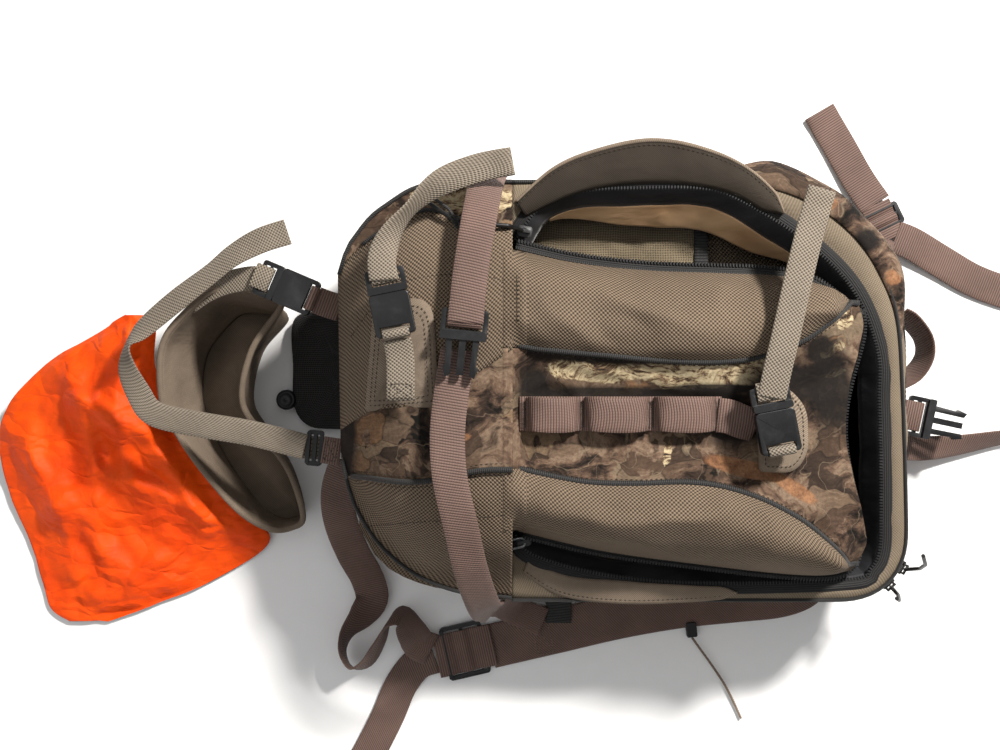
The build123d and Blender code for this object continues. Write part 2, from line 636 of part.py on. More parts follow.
def drawn_in(points, inset):
    """An anticlockwise plan outline with every side moved inwards by inset."""
    moved = []
    for i, point in enumerate(points):
        here, before, after = Vector(*point), Vector(*points[i - 1]), Vector(*points[(i + 1) % len(points)])
        first, second = (here - before).normalized(), (after - here).normalized()
        inward = Vector(-first.Y - second.Y, first.X + second.X).normalized()
        share = inset / max(0.5, inward.dot(Vector(-first.Y, first.X)))
        moved.append((here.X + inward.X * share, here.Y + inward.Y * share))
    return moved


def boot_form(inset, low):
    """Tapering form of the boot, drawn in by inset and starting at low."""
    with BuildPart() as form:
        for points, z in ((BOOT_FLOOR, low), (BOOT_RIM, 120)):
            with BuildSketch(Plane.XY.offset(z)):
                with BuildLine():
                    Polyline(*drawn_in(points, inset), close=True)
                make_face()
        loft(ruled=True)
    return form.part


with BuildPart() as boot_shell:
    add(boot_form(0, 2))
    add(boot_form(BOOT_WALL, 5), mode=Mode.SUBTRACT)
    split(bisect_by=BOOT_RIM_PLANE, keep=Keep.BOTTOM)
keep("boot_shell", boot_shell.part)

# Cover: stations across it, each from the boot's rim to the far hem.
COVER_CLOTH = 3.0
COVER = [  # y, then (x, z) along the cloth
    (48, (-384, 60), (-394, 62), (-404, 59), (-414, 53), (-424, 46)),
    (20, (-386, 57), (-404, 64), (-428, 54), (-454, 38), (-476, 30)),
    (-18, (-373, 46), (-400, 58), (-440, 44), (-482, 32), (-513, 20)),
    (-52, (-353, 34), (-390, 46), (-436, 34), (-486, 26), (-521, 11)),
    (-95, (-328, 21), (-370, 32), (-424, 28), (-478, 20), (-513, 7)),
    (-130, (-300, 9), (-348, 18), (-402, 20), (-460, 14), (-498, 5)),
    (-165, (-352, 5), (-384, 11), (-418, 14), (-456, 10), (-487, 4)),
    (-194, (-430, 4), (-442, 5.4), (-452, 6), (-462, 5.4), (-472, 4)),
]
with BuildPart() as blaze_cover:
    for y, *line in COVER:
        under = [(x, z - COVER_CLOTH) for x, z in reversed(line)]
        with BuildSketch(Plane.XZ.offset(-y)):
            with BuildLine():
                Polyline(*line, *under, close=True)
            make_face()
    loft(ruled=True)
keep("blaze_cover", blaze_cover.part)

# ======================================================================================================
# Cord keeper on the right shoulder strap
# ======================================================================================================
KEEPER = turned(69, -206, 0.4, 6)
with BuildPart() as cord_keeper:
    with BuildSketch(KEEPER):
        RectangleRounded(9, 13, 1.5)
    extrude(amount=6.2)
    with BuildSketch(KEEPER.offset(1.4)):
        with Locations((0, 5)):
            Rectangle(12, 12)
    extrude(amount=3, mode=Mode.SUBTRACT)
keep("cord_keeper", cord_keeper.part)


def cord(route, diameter):
    """Round cord along a route of straight runs joined by arcs as wide as the runs allow."""
    points = [Vector(*p) for p in route]
    radii = []
    for before, corner, after in zip(points, points[1:], points[2:]):
        half_turn = radians((corner - before).get_angle(after - corner)) / 2
        run = min((corner - before).length, (after - corner).length)
        radii.append(0.45 * run / tan(half_turn))
    with BuildPart() as tube:
        with BuildLine() as path:
            FilletPolyline(*points, radius=radii)
        with BuildSketch(Plane(origin=path.line @ 0, z_dir=path.line % 0)):
            Circle(diameter / 2)
        sweep(path=path.line)
    return tube.part, sum(edge.length for edge in path.edges()), radii


KEEPER_CORD = [(69.8, -213.4, 3.2), (76, -222, 2.4), (89, -240, 1.6), (102, -260, 1.3), (112, -283, 1.3)]
keeper_cord, cord_length, cord_radii = cord(KEEPER_CORD, THIN_CORD)
keep("keeper_cord", keeper_cord)

# ======================================================================================================
# Report on the pieces
# ======================================================================================================
print("cord length", round(cord_length, 1), "radii", [round(r, 1) for r in cord_radii], "pieces", len(made))
for name, shape in made.items():
    box = shape.bounding_box()
    print(name, len(shape.solids()), round(shape.volume), [round(v) for v in (*box.min, *box.max)])
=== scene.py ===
import json
import math

import bmesh
import bpy
from mathutils import Matrix, Vector, noise

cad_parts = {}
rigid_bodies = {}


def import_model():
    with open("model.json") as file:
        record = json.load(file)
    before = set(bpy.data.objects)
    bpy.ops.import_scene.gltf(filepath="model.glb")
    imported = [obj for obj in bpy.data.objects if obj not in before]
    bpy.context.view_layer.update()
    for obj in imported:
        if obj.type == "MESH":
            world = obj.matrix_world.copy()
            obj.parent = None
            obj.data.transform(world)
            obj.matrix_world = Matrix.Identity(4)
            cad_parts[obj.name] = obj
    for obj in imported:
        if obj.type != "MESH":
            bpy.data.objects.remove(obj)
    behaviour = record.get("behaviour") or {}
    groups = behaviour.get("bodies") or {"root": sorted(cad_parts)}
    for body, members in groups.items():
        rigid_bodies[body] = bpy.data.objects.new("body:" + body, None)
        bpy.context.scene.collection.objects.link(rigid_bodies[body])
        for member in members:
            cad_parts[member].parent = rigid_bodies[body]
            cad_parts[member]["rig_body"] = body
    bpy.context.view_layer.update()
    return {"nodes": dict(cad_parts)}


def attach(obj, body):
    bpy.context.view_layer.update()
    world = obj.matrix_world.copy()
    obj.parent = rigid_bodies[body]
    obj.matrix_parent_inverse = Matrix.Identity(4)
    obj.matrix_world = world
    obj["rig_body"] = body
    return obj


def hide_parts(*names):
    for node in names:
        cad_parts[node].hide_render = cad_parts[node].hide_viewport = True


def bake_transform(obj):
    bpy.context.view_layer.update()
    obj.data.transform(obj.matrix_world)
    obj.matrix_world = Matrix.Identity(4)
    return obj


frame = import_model()
NODES = frame["nodes"]
MM = 0.001
UP = Vector((0, 0, 1))

# ===== Camera, light and floor =====
camera = bpy.data.objects.new("camera", bpy.data.cameras.new("camera"))
camera.data.lens = 46.04
camera.data.sensor_width = 36
camera.data.clip_start = 0.02
camera.location = (-0.095, 0.012, 1.100)
bpy.context.scene.collection.objects.link(camera)
bpy.context.scene.camera = camera
bpy.context.scene.view_settings.view_transform = "Standard"


def area_light(name, place, target, size, power, colour=(1, 1, 1)):
    data = bpy.data.lights.new(name, "AREA")
    data.size = size
    data.energy = power
    data.color = colour
    lamp = bpy.data.objects.new(name, data)
    lamp.location = place
    lamp.rotation_euler = (Vector(target) - Vector(place)).to_track_quat("-Z", "Y").to_euler()
    bpy.context.scene.collection.objects.link(lamp)


area_light("key", (0.8, 1.0, 1.5), (-0.05, 0, 0.08), 0.2, 72, (1.0, 0.965, 0.92))
area_light("fill", (-1.2, -0.9, 1.3), (0, 0, 0.05), 1.4, 5)
area_light("top", (-0.2, 0.3, 2.2), (0, 0, 0), 1.8, 7)
world = bpy.data.worlds.new("studio")
world.use_nodes = True
world.node_tree.nodes["Background"].inputs["Color"].default_value = (1, 1, 1, 1)
world.node_tree.nodes["Background"].inputs["Strength"].default_value = 0.29
bpy.context.scene.world = world


# ===== Keeper cord: its route's points are its spline's control points =====
KEEPER_CORD = [(69.8, -213.4, 3.2), (76, -222, 2.4), (89, -240, 1.6), (102, -260, 1.3), (112, -283, 1.3)]


def cord_curve(name, points, diameter):
    """Smooth round cord with the route's points, in millimetres, as control points."""
    data = bpy.data.curves.new(name, "CURVE")
    data.dimensions = "3D"
    data.bevel_depth = diameter / 2 * MM
    data.bevel_resolution = 4
    data.resolution_u = 10
    data.use_fill_caps = True
    line = data.splines.new("NURBS")
    line.points.add(len(points) - 1)
    for spot, point in zip(line.points, points):
        spot.co = (*[c * MM for c in point], 1)
    line.order_u = 3
    line.use_endpoint_u = True
    obj = bpy.data.objects.new(name, data)
    bpy.context.scene.collection.objects.link(obj)
    return obj


# ===== Materials =====
class Net:
    """One procedural material, built from its principled shader outwards."""

    def __init__(self, name, roughness=0.85, specular=0.2, sheen=0.0, metallic=0.0):
        self.mat = bpy.data.materials.new(name)
        self.mat.use_nodes = True
        self.nodes = self.mat.node_tree.nodes
        self.shader = self.nodes["Principled BSDF"]
        self.shader.inputs["Roughness"].default_value = roughness
        self.shader.inputs["Specular IOR Level"].default_value = specular
        self.shader.inputs["Metallic"].default_value = metallic
        self.shader.inputs["Sheen Weight"].default_value = sheen
        self.shader.inputs["Sheen Roughness"].default_value = 0.4

    def plug(self, node, where, value):
        if isinstance(value, bpy.types.NodeSocket):
            self.mat.node_tree.links.new(value, node.inputs[where])
        elif value is not None:
            node.inputs[where].default_value = value

    def coords(self, kind="Object"):
        return self.nodes.new("ShaderNodeTexCoord").outputs[kind]

    def split(self, vector):
        node = self.nodes.new("ShaderNodeSeparateXYZ")
        self.plug(node, 0, vector)
        return node.outputs

    def scaled(self, vector, scale, turn=0.0):
        node = self.nodes.new("ShaderNodeMapping")
        self.plug(node, "Vector", vector)
        node.inputs["Scale"].default_value = scale
        node.inputs["Rotation"].default_value = (0, 0, math.radians(turn))
        return node.outputs[0]

    def math(self, kind, a, b=None, c=None):
        node = self.nodes.new("ShaderNodeMath")
        node.operation = kind
        for where, value in enumerate((a, b, c)):
            self.plug(node, where, value)
        return node.outputs[0]

    def raised(self, wave):
        """A wave of -1 to 1, moved to 0 to 1."""
        return self.math("MULTIPLY_ADD", wave, 0.5, 0.5)

    def off_middle(self, value):
        """How far a noise value is from its middle."""
        return self.math("ABSOLUTE", self.math("SUBTRACT", value, 0.5))

    def warped(self, vector, scale, reach):
        """Coordinates pushed aside by a soft noise."""
        drift = self.nodes.new("ShaderNodeTexNoise")
        drift.inputs["Scale"].default_value = scale
        self.plug(drift, "Vector", vector)
        node = self.nodes.new("ShaderNodeVectorMath")
        node.operation = "MULTIPLY_ADD"
        for where, value in enumerate((drift.outputs["Color"], (reach, reach, reach), vector)):
            self.plug(node, where, value)
        return node.outputs[0]

    def noise(self, vector, scale, detail=3.0, rough=0.55, distortion=0.0):
        node = self.nodes.new("ShaderNodeTexNoise")
        for where, value in (("Vector", vector), ("Scale", scale), ("Detail", detail), ("Roughness", rough),
                             ("Distortion", distortion)):
            self.plug(node, where, value)
        return node.outputs[0]

    def cells(self, vector, scale, feature="F1", output="Distance"):
        node = self.nodes.new("ShaderNodeTexVoronoi")
        node.feature = feature
        self.plug(node, "Vector", vector)
        node.inputs["Scale"].default_value = scale
        return node.outputs[output]

    def ramp(self, value, stops):
        node = self.nodes.new("ShaderNodeValToRGB")
        while len(node.color_ramp.elements) < len(stops):
            node.color_ramp.elements.new(0.5)
        for element, (place, colour) in zip(node.color_ramp.elements, stops):
            element.position = place
            element.color = (*colour, 1) if hasattr(colour, "__len__") else (colour, colour, colour, 1)
        self.plug(node, 0, value)
        return node.outputs[0]

    def mix(self, share, a, b, kind="MIX"):
        node = self.nodes.new("ShaderNodeMix")
        node.data_type = "RGBA"
        node.blend_type = kind
        self.plug(node, 0, share)
        for where, value in ((6, a), (7, b)):
            self.plug(node, where, (*value, 1) if isinstance(value, tuple) else value)
        return node.outputs[2]

    def wave(self, value, period):
        """Sine of one coordinate, in metres, with the period in millimetres."""
        return self.math("SINE", self.math("MULTIPLY", value, 2 * math.pi / (period * MM)))

    def attribute(self, name):
        node = self.nodes.new("ShaderNodeAttribute")
        node.attribute_name = name
        return node.outputs["Fac"]

    def bump(self, height, depth, strength=1.0, below=None):
        node = self.nodes.new("ShaderNodeBump")
        node.inputs["Strength"].default_value = strength
        node.inputs["Distance"].default_value = depth * MM
        self.plug(node, "Height", height)
        self.plug(node, "Normal", below)
        return node.outputs[0]

    def done(self, colour, normal=None, roughness=None):
        self.plug(self.shader, "Base Color", colour)
        self.plug(self.shader, "Normal", normal)
        self.plug(self.shader, "Roughness", roughness)
        return self.mat


def soiled(net, colour, amount=0.25, scale=14):
    """Uneven dye and wear over a whole piece."""
    blotch = net.noise(net.coords(), scale, 5, 0.6)
    return net.mix(amount, colour, net.ramp(blotch, [(0.3, 0.35), (0.7, 1.25)]), "MULTIPLY")


def basket(name, period, dark, light, depth):
    """Coarse basket weave along the cloth's own lengths."""
    net = Net(name)
    u, v, _ = net.split(net.coords("UV"))
    dots = net.math("MULTIPLY", net.wave(u, period), net.wave(v, period))
    height = net.raised(dots)
    fuzz = net.noise(net.coords(), 900, 2)
    colour = net.ramp(height, [(0.12, dark), (0.5, tuple((a + b) / 2 for a, b in zip(dark, light))),
                               (0.9, light)])
    colour = net.mix(0.25, colour, net.ramp(fuzz, [(0.3, 0.55), (0.75, 1.2)]), "MULTIPLY")
    wave = net.bump(net.noise(net.coords(), 22, 3), 2.2, 0.35)
    return net.done(soiled(net, colour), net.bump(height, depth, 0.8, wave))


WARP_PERIOD = 1.1


def ribbed(name, period, dark, light):
    """Webbing with ribs across its length and fine warp threads along it."""
    net = Net(name, 0.62, 0.3, 0.05)
    u, v, _ = net.split(net.coords("UV"))
    rib = net.math("POWER", net.raised(net.wave(v, period)), 0.6)
    warp = net.math("MULTIPLY_ADD", net.raised(net.wave(u, WARP_PERIOD)), 0.45, 0.5)
    height = net.math("MULTIPLY", rib, warp)
    colour = net.ramp(height, [(0.05, dark), (0.6, light)])
    return net.done(soiled(net, colour, 0.3, 30), net.bump(height, 0.45, 0.8))


def plain_web(name, period, dark, light):
    """Coarse plain-weave webbing with staggered threads."""
    net = Net(name, 0.7, 0.25, 0.05)
    u, v, _ = net.split(net.coords("UV"))
    dots = net.math("MULTIPLY", net.wave(u, period), net.wave(v, period * 0.9))
    height = net.raised(dots)
    colour = net.ramp(height, [(0.15, dark), (0.55, light), (1.0, tuple(c * 1.25 for c in light))])
    return net.done(soiled(net, colour, 0.25, 30), net.bump(height, 0.6, 0.9))


def twill(name, dark, light):
    """Fine diagonal twill with soft creases."""
    net = Net(name, 0.9, 0.15)
    u, v, _ = net.split(net.coords("UV"))
    line = net.raised(net.wave(net.math("ADD", u, v), 1.5))
    colour = net.ramp(line, [(0.0, dark), (1.0, light)])
    crease = net.noise(net.scaled(net.coords(), (1, 2.2, 1), 30), 26, 4, 0.6, 0.6)
    return net.done(soiled(net, colour, 0.45, 20), net.bump(line, 0.2, 0.6, net.bump(crease, 3.0, 0.4)))


def camouflage(name):
    """Bark, leaf and shadow print: layered noise and cells, with bark and rust patches by attribute, and
    near-black painted shade by the dark attribute.
    """
    net = Net(name, 0.88, 0.18)
    place = net.coords()
    warped = net.warped(place, 26, 0.05)
    base = net.noise(net.scaled(warped, (1, 1.9, 1), 12), 26, 9, 0.68)
    ground = net.ramp(base, [(0.38, (0.005, 0.004, 0.003)), (0.45, (0.034, 0.021, 0.015)),
                             (0.52, (0.11, 0.068, 0.045)), (0.58, (0.19, 0.13, 0.088)),
                             (0.7, (0.05, 0.032, 0.022))])
    leaf_id = net.cells(net.scaled(warped, (1, 1.6, 1), 35), 30, "F1", "Color")
    leaf = net.ramp(net.split(leaf_id)[0], [(0.0, (0.024, 0.016, 0.012)), (0.4, (0.085, 0.052, 0.034)),
                                            (0.66, (0.14, 0.094, 0.062)), (0.85, (0.19, 0.14, 0.092)),
                                            (0.97, (0.19, 0.105, 0.055))])
    leaf = net.mix(0.7, leaf, net.ramp(net.noise(net.scaled(warped, (1, 4, 1), 40), 120, 4, 0.7),
                                       [(0.3, 0.45), (0.7, 1.3)]), "MULTIPLY")
    leafy = net.ramp(net.noise(place, 24, 4), [(0.5, 0.0), (0.515, 0.85)])
    colour = net.mix(leafy, ground, leaf)
    veins = net.cells(net.scaled(warped, (1, 1.6, 1), 35), 30, "DISTANCE_TO_EDGE")
    colour = net.mix(net.math("MULTIPLY", net.ramp(veins, [(0.0, 0.7), (0.04, 0.0)]), leafy), colour,
                     (0.012, 0.008, 0.006))
    twig = net.off_middle(net.noise(warped, 15, 3, 0.5, 0.8))
    colour = net.mix(net.ramp(twig, [(0.0, 0.5), (0.006, 0.0)]), colour, (0.24, 0.18, 0.12))
    rough_bark = net.noise(net.scaled(warped, (1.0, 3.0, 1), 8), 85, 8, 0.75)
    bark = net.ramp(rough_bark, [(0.38, (0.015, 0.01, 0.008)), (0.46, (0.15, 0.095, 0.055)),
                                 (0.53, (0.45, 0.36, 0.22)), (0.68, (0.56, 0.47, 0.31))])
    rusty = net.ramp(net.noise(place, 150, 5, 0.7), [(0.35, (0.13, 0.06, 0.03)), (0.65, (0.32, 0.15, 0.07))])
    # Bark and rust are print; the dark attribute is painted shade, a near-black laid over the print where
    # shade falls.
    for mark, ragged, part, stops, over in (
            ("bark", (34, 5, 0.7), 0.9, [(0.8, 0.0), (0.88, 1.0)], bark),
            ("rust", (40, 4, 0.6), 0.6, [(0.74, 0.0), (0.88, 0.75)], rusty),
            ("dark", (30, 4, 0.6), 0.5, [(0.42, 0.0), (0.85, 0.95)], (0.01, 0.008, 0.007))):
        share = net.math("ADD", net.attribute(mark), net.math("MULTIPLY", net.noise(place, *ragged), part))
        colour = net.mix(net.ramp(share, stops), colour, over)
    speck = net.noise(place, 420, 3, 0.7)
    colour = net.mix(0.5, colour, net.ramp(speck, [(0.35, 0.55), (0.7, 1.35)]), "MULTIPLY")
    nap = net.bump(net.noise(place, 1400, 2), 0.12, 0.6)
    return net.done(colour, net.bump(net.noise(place, 30, 3), 3.0, 0.3, nap))


def nylon(name, dark, light):
    """Thin crisp nylon: a fine grain, small creases with painted shade along them, and sharp-edged folds."""
    net = Net(name, 0.6, 0.2)
    place = net.coords()
    crease = net.noise(net.scaled(place, (1, 2.4, 1), 50), 26, 4, 0.55, 0.25)
    sharp = net.off_middle(crease)
    fine = net.off_middle(net.noise(net.scaled(place, (1, 2, 1), -20), 90, 3, 0.5, 0.1))
    colour = net.mix(net.ramp(net.noise(place, 24, 5), [(0.3, 0.0), (0.7, 1.0)]), dark, light)
    # Painted shade: the colour darkens along the small creases' lines.
    colour = net.mix(0.3, colour, net.ramp(sharp, [(0.0, 0.72), (0.06, 1.0)]), "MULTIPLY")
    folds = net.cells(net.scaled(net.warped(place, 30, 0.03), (1, 1.9, 1), 28), 26, "DISTANCE_TO_EDGE")
    cloth = net.bump(folds, 7.0, 0.7, net.bump(net.noise(place, 2400, 2), 0.05, 0.4))
    return net.done(colour, net.bump(sharp, 2.5, 0.4, net.bump(fine, 0.8, 0.3, cloth)))


def mesh_cloth(name, dark, light, period=2.6):
    """Knitted mesh: dark holes between light threads."""
    net = Net(name, 0.9, 0.15)
    u, v, _ = net.split(net.coords("UV"))
    slants = [net.wave(net.math(kind, u, v), period) for kind in ("ADD", "SUBTRACT")]
    cross = net.math("MULTIPLY", *slants)
    hole = net.ramp(cross, [(0.0, 0.0), (0.45, 1.0)])
    colour = net.mix(hole, light, dark)
    return net.done(soiled(net, colour, 0.4, 26), net.bump(net.math("SUBTRACT", 1.0, hole), 0.5, 0.8))


def moulded(name, colour, roughness=0.3):
    """Moulded plastic with a fine grain and scuffed patches."""
    net = Net(name, roughness, 0.32)
    place = net.coords()
    grain = net.noise(place, 900, 3)
    scuff = net.noise(place, 60, 6, 0.7)
    tone = net.mix(net.ramp(scuff, [(0.5, 0.0), (0.75, 0.6)]), colour, tuple(c * 2.2 + 0.006 for c in colour))
    rough = net.ramp(scuff, [(0.35, roughness), (0.75, roughness + 0.25)])
    return net.done(tone, net.bump(grain, 0.05, 0.5), rough)


def worn_metal(name, colour, worn, metallic=0.9):
    """Painted or bare metal with long scratches."""
    net = Net(name, 0.4, 0.4, 0, metallic)
    place = net.coords()
    scratch = net.noise(net.scaled(place, (1, 8, 1), 20), 260, 5, 0.7)
    tone = net.mix(net.ramp(scratch, [(0.5, 0.0), (0.66, 1.0)]), colour, worn)
    return net.done(tone, net.bump(scratch, 0.08, 0.5))


def plain_thread(name, dark, light, period=1.4):
    """Twisted cord or thread: slanting strands."""
    net = Net(name, 0.75, 0.2, 0.1)
    x, y, z = net.split(net.coords())
    strand = net.raised(net.wave(net.math("ADD", x, net.math("ADD", y, z)), period))
    return net.done(net.ramp(strand, [(0.2, dark), (0.8, light)]), net.bump(strand, 0.25, 0.8))


def satin(name, dark, light):
    """Smooth lining with long soft ripples, painted darker in their troughs and lighter on their crests."""
    net = Net(name, 0.6, 0.3, 0.1)
    ripple = net.noise(net.scaled(net.coords(), (1, 3, 1), 10), 20, 3, 0.5, 0.4)
    weave = net.noise(net.coords(), 1500, 2)
    # Painted shade and light: the colour follows the ripples' height.
    colour = net.ramp(ripple, [(0.3, dark), (0.7, light)])
    return net.done(colour, net.bump(ripple, 4.0, 0.6, net.bump(weave, 0.06, 0.5)))


WEAVE = basket("taupe_ballistic", 3.1, (0.03, 0.022, 0.015), (0.255, 0.188, 0.13), 0.75)
GUSSET = basket("taupe_ripstop", 2.1, (0.12, 0.094, 0.066), (0.26, 0.205, 0.145), 0.25)
TWILL = twill("taupe_twill", (0.135, 0.104, 0.077), (0.28, 0.218, 0.163))
TWILL_DARK = twill("dark_twill", (0.02, 0.016, 0.013), (0.05, 0.04, 0.03))
CAMO = camouflage("bark_camouflage")
BLAZE = nylon("blaze_nylon", (0.78, 0.055, 0.0005), (0.92, 0.088, 0.001))
TAN = plain_web("tan_webbing", 3.0, (0.062, 0.05, 0.037), (0.235, 0.196, 0.152))
BROWN = ribbed("brown_webbing", 2.0, (0.05, 0.029, 0.023), (0.185, 0.115, 0.093))
BLACK_WEB = ribbed("black_webbing", 2.3, (0.006, 0.006, 0.006), (0.03, 0.029, 0.028))
MESH = mesh_cloth("olive_mesh", (0.03, 0.024, 0.016), (0.22, 0.175, 0.115))
SPACER = mesh_cloth("black_spacer_mesh", (0.004, 0.004, 0.004), (0.045, 0.043, 0.042), 3.4)
TAPE = ribbed("zip_tape", 1.6, (0.005, 0.005, 0.005), (0.022, 0.021, 0.021))
COIL = moulded("zip_coil", (0.02, 0.02, 0.021), 0.3)
ACETAL = moulded("black_acetal", (0.006, 0.006, 0.007))
SLIDER = worn_metal("slider_paint", (0.008, 0.008, 0.008), (0.03, 0.03, 0.03), 0.2)
RING = worn_metal("ring_steel", (0.1, 0.1, 0.1), (0.5, 0.5, 0.5))
THIN_CORD = plain_thread("brown_cord", (0.10, 0.07, 0.05), (0.33, 0.25, 0.19), 1.0)
THREAD = plain_thread("stitch_thread", (0.02, 0.015, 0.011), (0.065, 0.05, 0.036), 0.8)
LIGHT_THREAD = plain_thread("light_thread", (0.14, 0.11, 0.08), (0.3, 0.24, 0.17), 0.8)
LINING = satin("tan_lining", (0.34, 0.19, 0.09), (0.62, 0.4, 0.22))
BLACK_LINING = satin("black_lining", (0.006, 0.006, 0.007), (0.028, 0.028, 0.032))
PIPING = ribbed("black_piping", 1.5, (0.006, 0.006, 0.006), (0.034, 0.033, 0.032))

floor_net = Net("studio_floor", 0.9, 0.1)
grain = floor_net.noise(floor_net.coords(), 60, 3)
FLOOR = floor_net.done(floor_net.ramp(grain, [(0.0, 0.86), (1.0, 0.9)]))
floor_mesh = bpy.data.meshes.new("floor")
FLOOR_HALF, FLOOR_Z = 6, -0.0015
floor_mesh.from_pydata([(x * FLOOR_HALF, y * FLOOR_HALF, FLOOR_Z)
                        for x, y in ((-1, -1), (1, -1), (1, 1), (-1, 1))], [], [(0, 1, 2, 3)])
floor_mesh.materials.append(FLOOR)
floor = bpy.data.objects.new("floor", floor_mesh)
bpy.context.scene.collection.objects.link(floor)


# ===== Shape helpers, all in millimetres =====
def between(four, t):
    """Catmull-Rom value at share t between the middle two of four tuples."""
    return tuple(
        0.5 * (2 * b + (c - a) * t + (2 * a - 5 * b + 4 * c - d) * t * t + (3 * b - a - 3 * c + d) * t ** 3)
        for a, b, c, d in zip(*four)
    )


def smooth(points, u):
    """Catmull-Rom value through tuples, u from 0 to the last index."""
    last = len(points) - 1
    u = min(max(u, 0.0), last)
    i = min(int(u), last - 1)
    t = u - i
    return between((points[max(i - 1, 0)], points[i], points[i + 1], points[min(i + 2, last)]), t)


def along(table, x):
    """Smooth value at x through (x, value) pairs in rising x."""
    if x <= table[0][0]:
        return table[0][1]
    if x >= table[-1][0]:
        return table[-1][1]
    i = max(k for k in range(len(table) - 1) if table[k][0] <= x)

    def slope(k):
        low, high = max(k - 1, 0), min(k + 1, len(table) - 1)
        return (table[high][1] - table[low][1]) / (table[high][0] - table[low][0])

    (x0, y0), (x1, y1) = table[i], table[i + 1]
    h = x1 - x0
    t = (x - x0) / h
    return (y0 * (2 * t ** 3 - 3 * t * t + 1) + slope(i) * h * (t ** 3 - 2 * t * t + t)
            + y1 * (3 * t * t - 2 * t ** 3) + slope(i + 1) * h * (t ** 3 - t * t))


def lerp(a, b, t):
    return a + (b - a) * t


def steps(count):
    """The shares 0 to 1 in count even steps."""
    return [i / count for i in range(count + 1)]


def distances(points):
    """Length along a line of points, at each of them."""
    run = [0.0]
    for a, b in zip(points, points[1:]):
        run.append(run[-1] + (b - a).length)
    return run


def paced(points, pitch):
    """Index, place and direction of each pace along a line of points."""
    run = distances(points)
    k = 0
    for i in range(int(run[-1] / pitch)):
        goal = (i + 0.5) * pitch
        while k < len(run) - 2 and run[k + 1] < goal:
            k += 1
        ahead = (points[k + 1] - points[k]).normalized()
        yield k, points[k] + ahead * (goal - run[k]), ahead


def heading(line, k):
    """Direction of a line of points at its k-th point."""
    return (line[min(k + 1, len(line) - 1)] - line[max(k - 1, 0)]).normalized()


def ease(t):
    t = min(max(t, 0.0), 1.0)
    return t * t * (3 - 2 * t)


def rumple(x, y, z, size, seed=0.0):
    """Soft noise of -1 to 1 with folds about size millimetres across."""
    return noise.noise(Vector((x / size + seed, y / size - seed, z / size + 2 * seed)))


def ridge(x, y, z, size, seed=0.0):
    """Sharp-crested folds, 0 to 1."""
    return 1 - min(1.0, abs(rumple(x, y, z, size, seed)) * 2.6)


def facet(x, y, size, seed):
    """Flat-sided folds with straight valleys, about size millimetres across."""
    near = noise.voronoi(Vector((x / size, y / size, seed)))[0]
    return near[1] - near[0]


def route_points(points, count):
    """Evenly spaced points, by length, on the smooth line through some points."""
    fine = [Vector(smooth(points, i * (len(points) - 1) / 400)) for i in range(401)]
    run = distances(fine)
    result = []
    k = 0
    for i in range(count):
        goal = run[-1] * i / (count - 1)
        while k < 399 and run[k + 1] < goal:
            k += 1
        step = run[k + 1] - run[k]
        result.append(fine[k].lerp(fine[k + 1], (goal - run[k]) / step if step else 0))
    return result


def finish_piece(obj, body, replaces=()):
    """Attaches a piece to its body and hides the CAD nodes it stands for."""
    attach(obj, body)
    if replaces:
        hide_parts(*replaces)
    return obj


def make(name, verts, faces, materials, uvs=None, picks=None, marks=None, flat=False):
    """Mesh object from millimetre points; uvs hold metres for each face corner."""
    mesh = bpy.data.meshes.new(name)
    mesh.from_pydata([Vector(v) * MM for v in verts], [], faces)
    for material in materials:
        mesh.materials.append(material)
    if uvs:
        layer = mesh.uv_layers.new(name="cloth")
        for spot, uv in zip(layer.data, uvs):
            spot.uv = uv
    if picks:
        mesh.polygons.foreach_set("material_index", picks)
    for label, values in (marks or {}).items():
        attribute = mesh.attributes.new(label, "FLOAT", "POINT")
        attribute.data.foreach_set("value", values)
    mesh.polygons.foreach_set("use_smooth", [not flat] * len(mesh.polygons))
    mesh.update()
    obj = bpy.data.objects.new(name, mesh)
    bpy.context.scene.collection.objects.link(obj)
    return obj


def bake(obj):
    """Applies an object's modifiers."""
    shape = bpy.data.meshes.new_from_object(obj.evaluated_get(bpy.context.evaluated_depsgraph_get()))
    obj.modifiers.clear()
    obj.data = shape
    return obj


def lengths(rows):
    """Cloth coordinates, in metres, of every grid point."""
    middle = len(rows[0]) // 2
    table = []
    for r, row in enumerate(rows):
        line = [0.0] * len(row)
        for c in range(middle + 1, len(row)):
            line[c] = line[c - 1] + (row[c] - row[c - 1]).length
        for c in range(middle - 1, -1, -1):
            line[c] = line[c + 1] - (row[c + 1] - row[c]).length
        if r == 0:
            up = [0.0] * len(row)
        else:
            up = [u + (a - b).length for u, a, b in zip(table[-1][1], row, rows[r - 1])]
        table.append((line, up))
    return [[(u * MM, v * MM) for u, v in zip(line, up)] for line, up in table]


def grid(name, rows, material, thickness=0.0, lining=None, closed=False, flip=False, marks=None, offset=-1):
    """Sheet through rows of points, thickened into a closed piece when it has a thickness."""
    rows = [[Vector(p) for p in row] for row in rows]
    wide = len(rows[0])
    table = lengths([row + [row[0]] for row in rows] if closed else rows)
    verts = [p for row in rows for p in row]
    faces, uvs = [], []
    for r in range(len(rows) - 1):
        for c in range(wide if closed else wide - 1):
            d = (c + 1) % wide
            corner = [(r, c, c), (r, d, c + 1), (r + 1, d, c + 1), (r + 1, c, c)]
            if flip:
                corner.reverse()
            faces.append([a * wide + b for a, b, _ in corner])
            uvs += [table[a][k] for a, _, k in corner]
    values = {label: [fn(v) for v in verts] for label, fn in (marks or {}).items()}
    obj = make(name, verts, faces, [material, lining or material], uvs, None, values)
    if thickness:
        solid = obj.modifiers.new("cloth", "SOLIDIFY")
        solid.thickness = thickness * MM
        solid.offset = offset
        solid.material_offset = 1
        solid.material_offset_rim = 0
        bake(obj)
    return obj


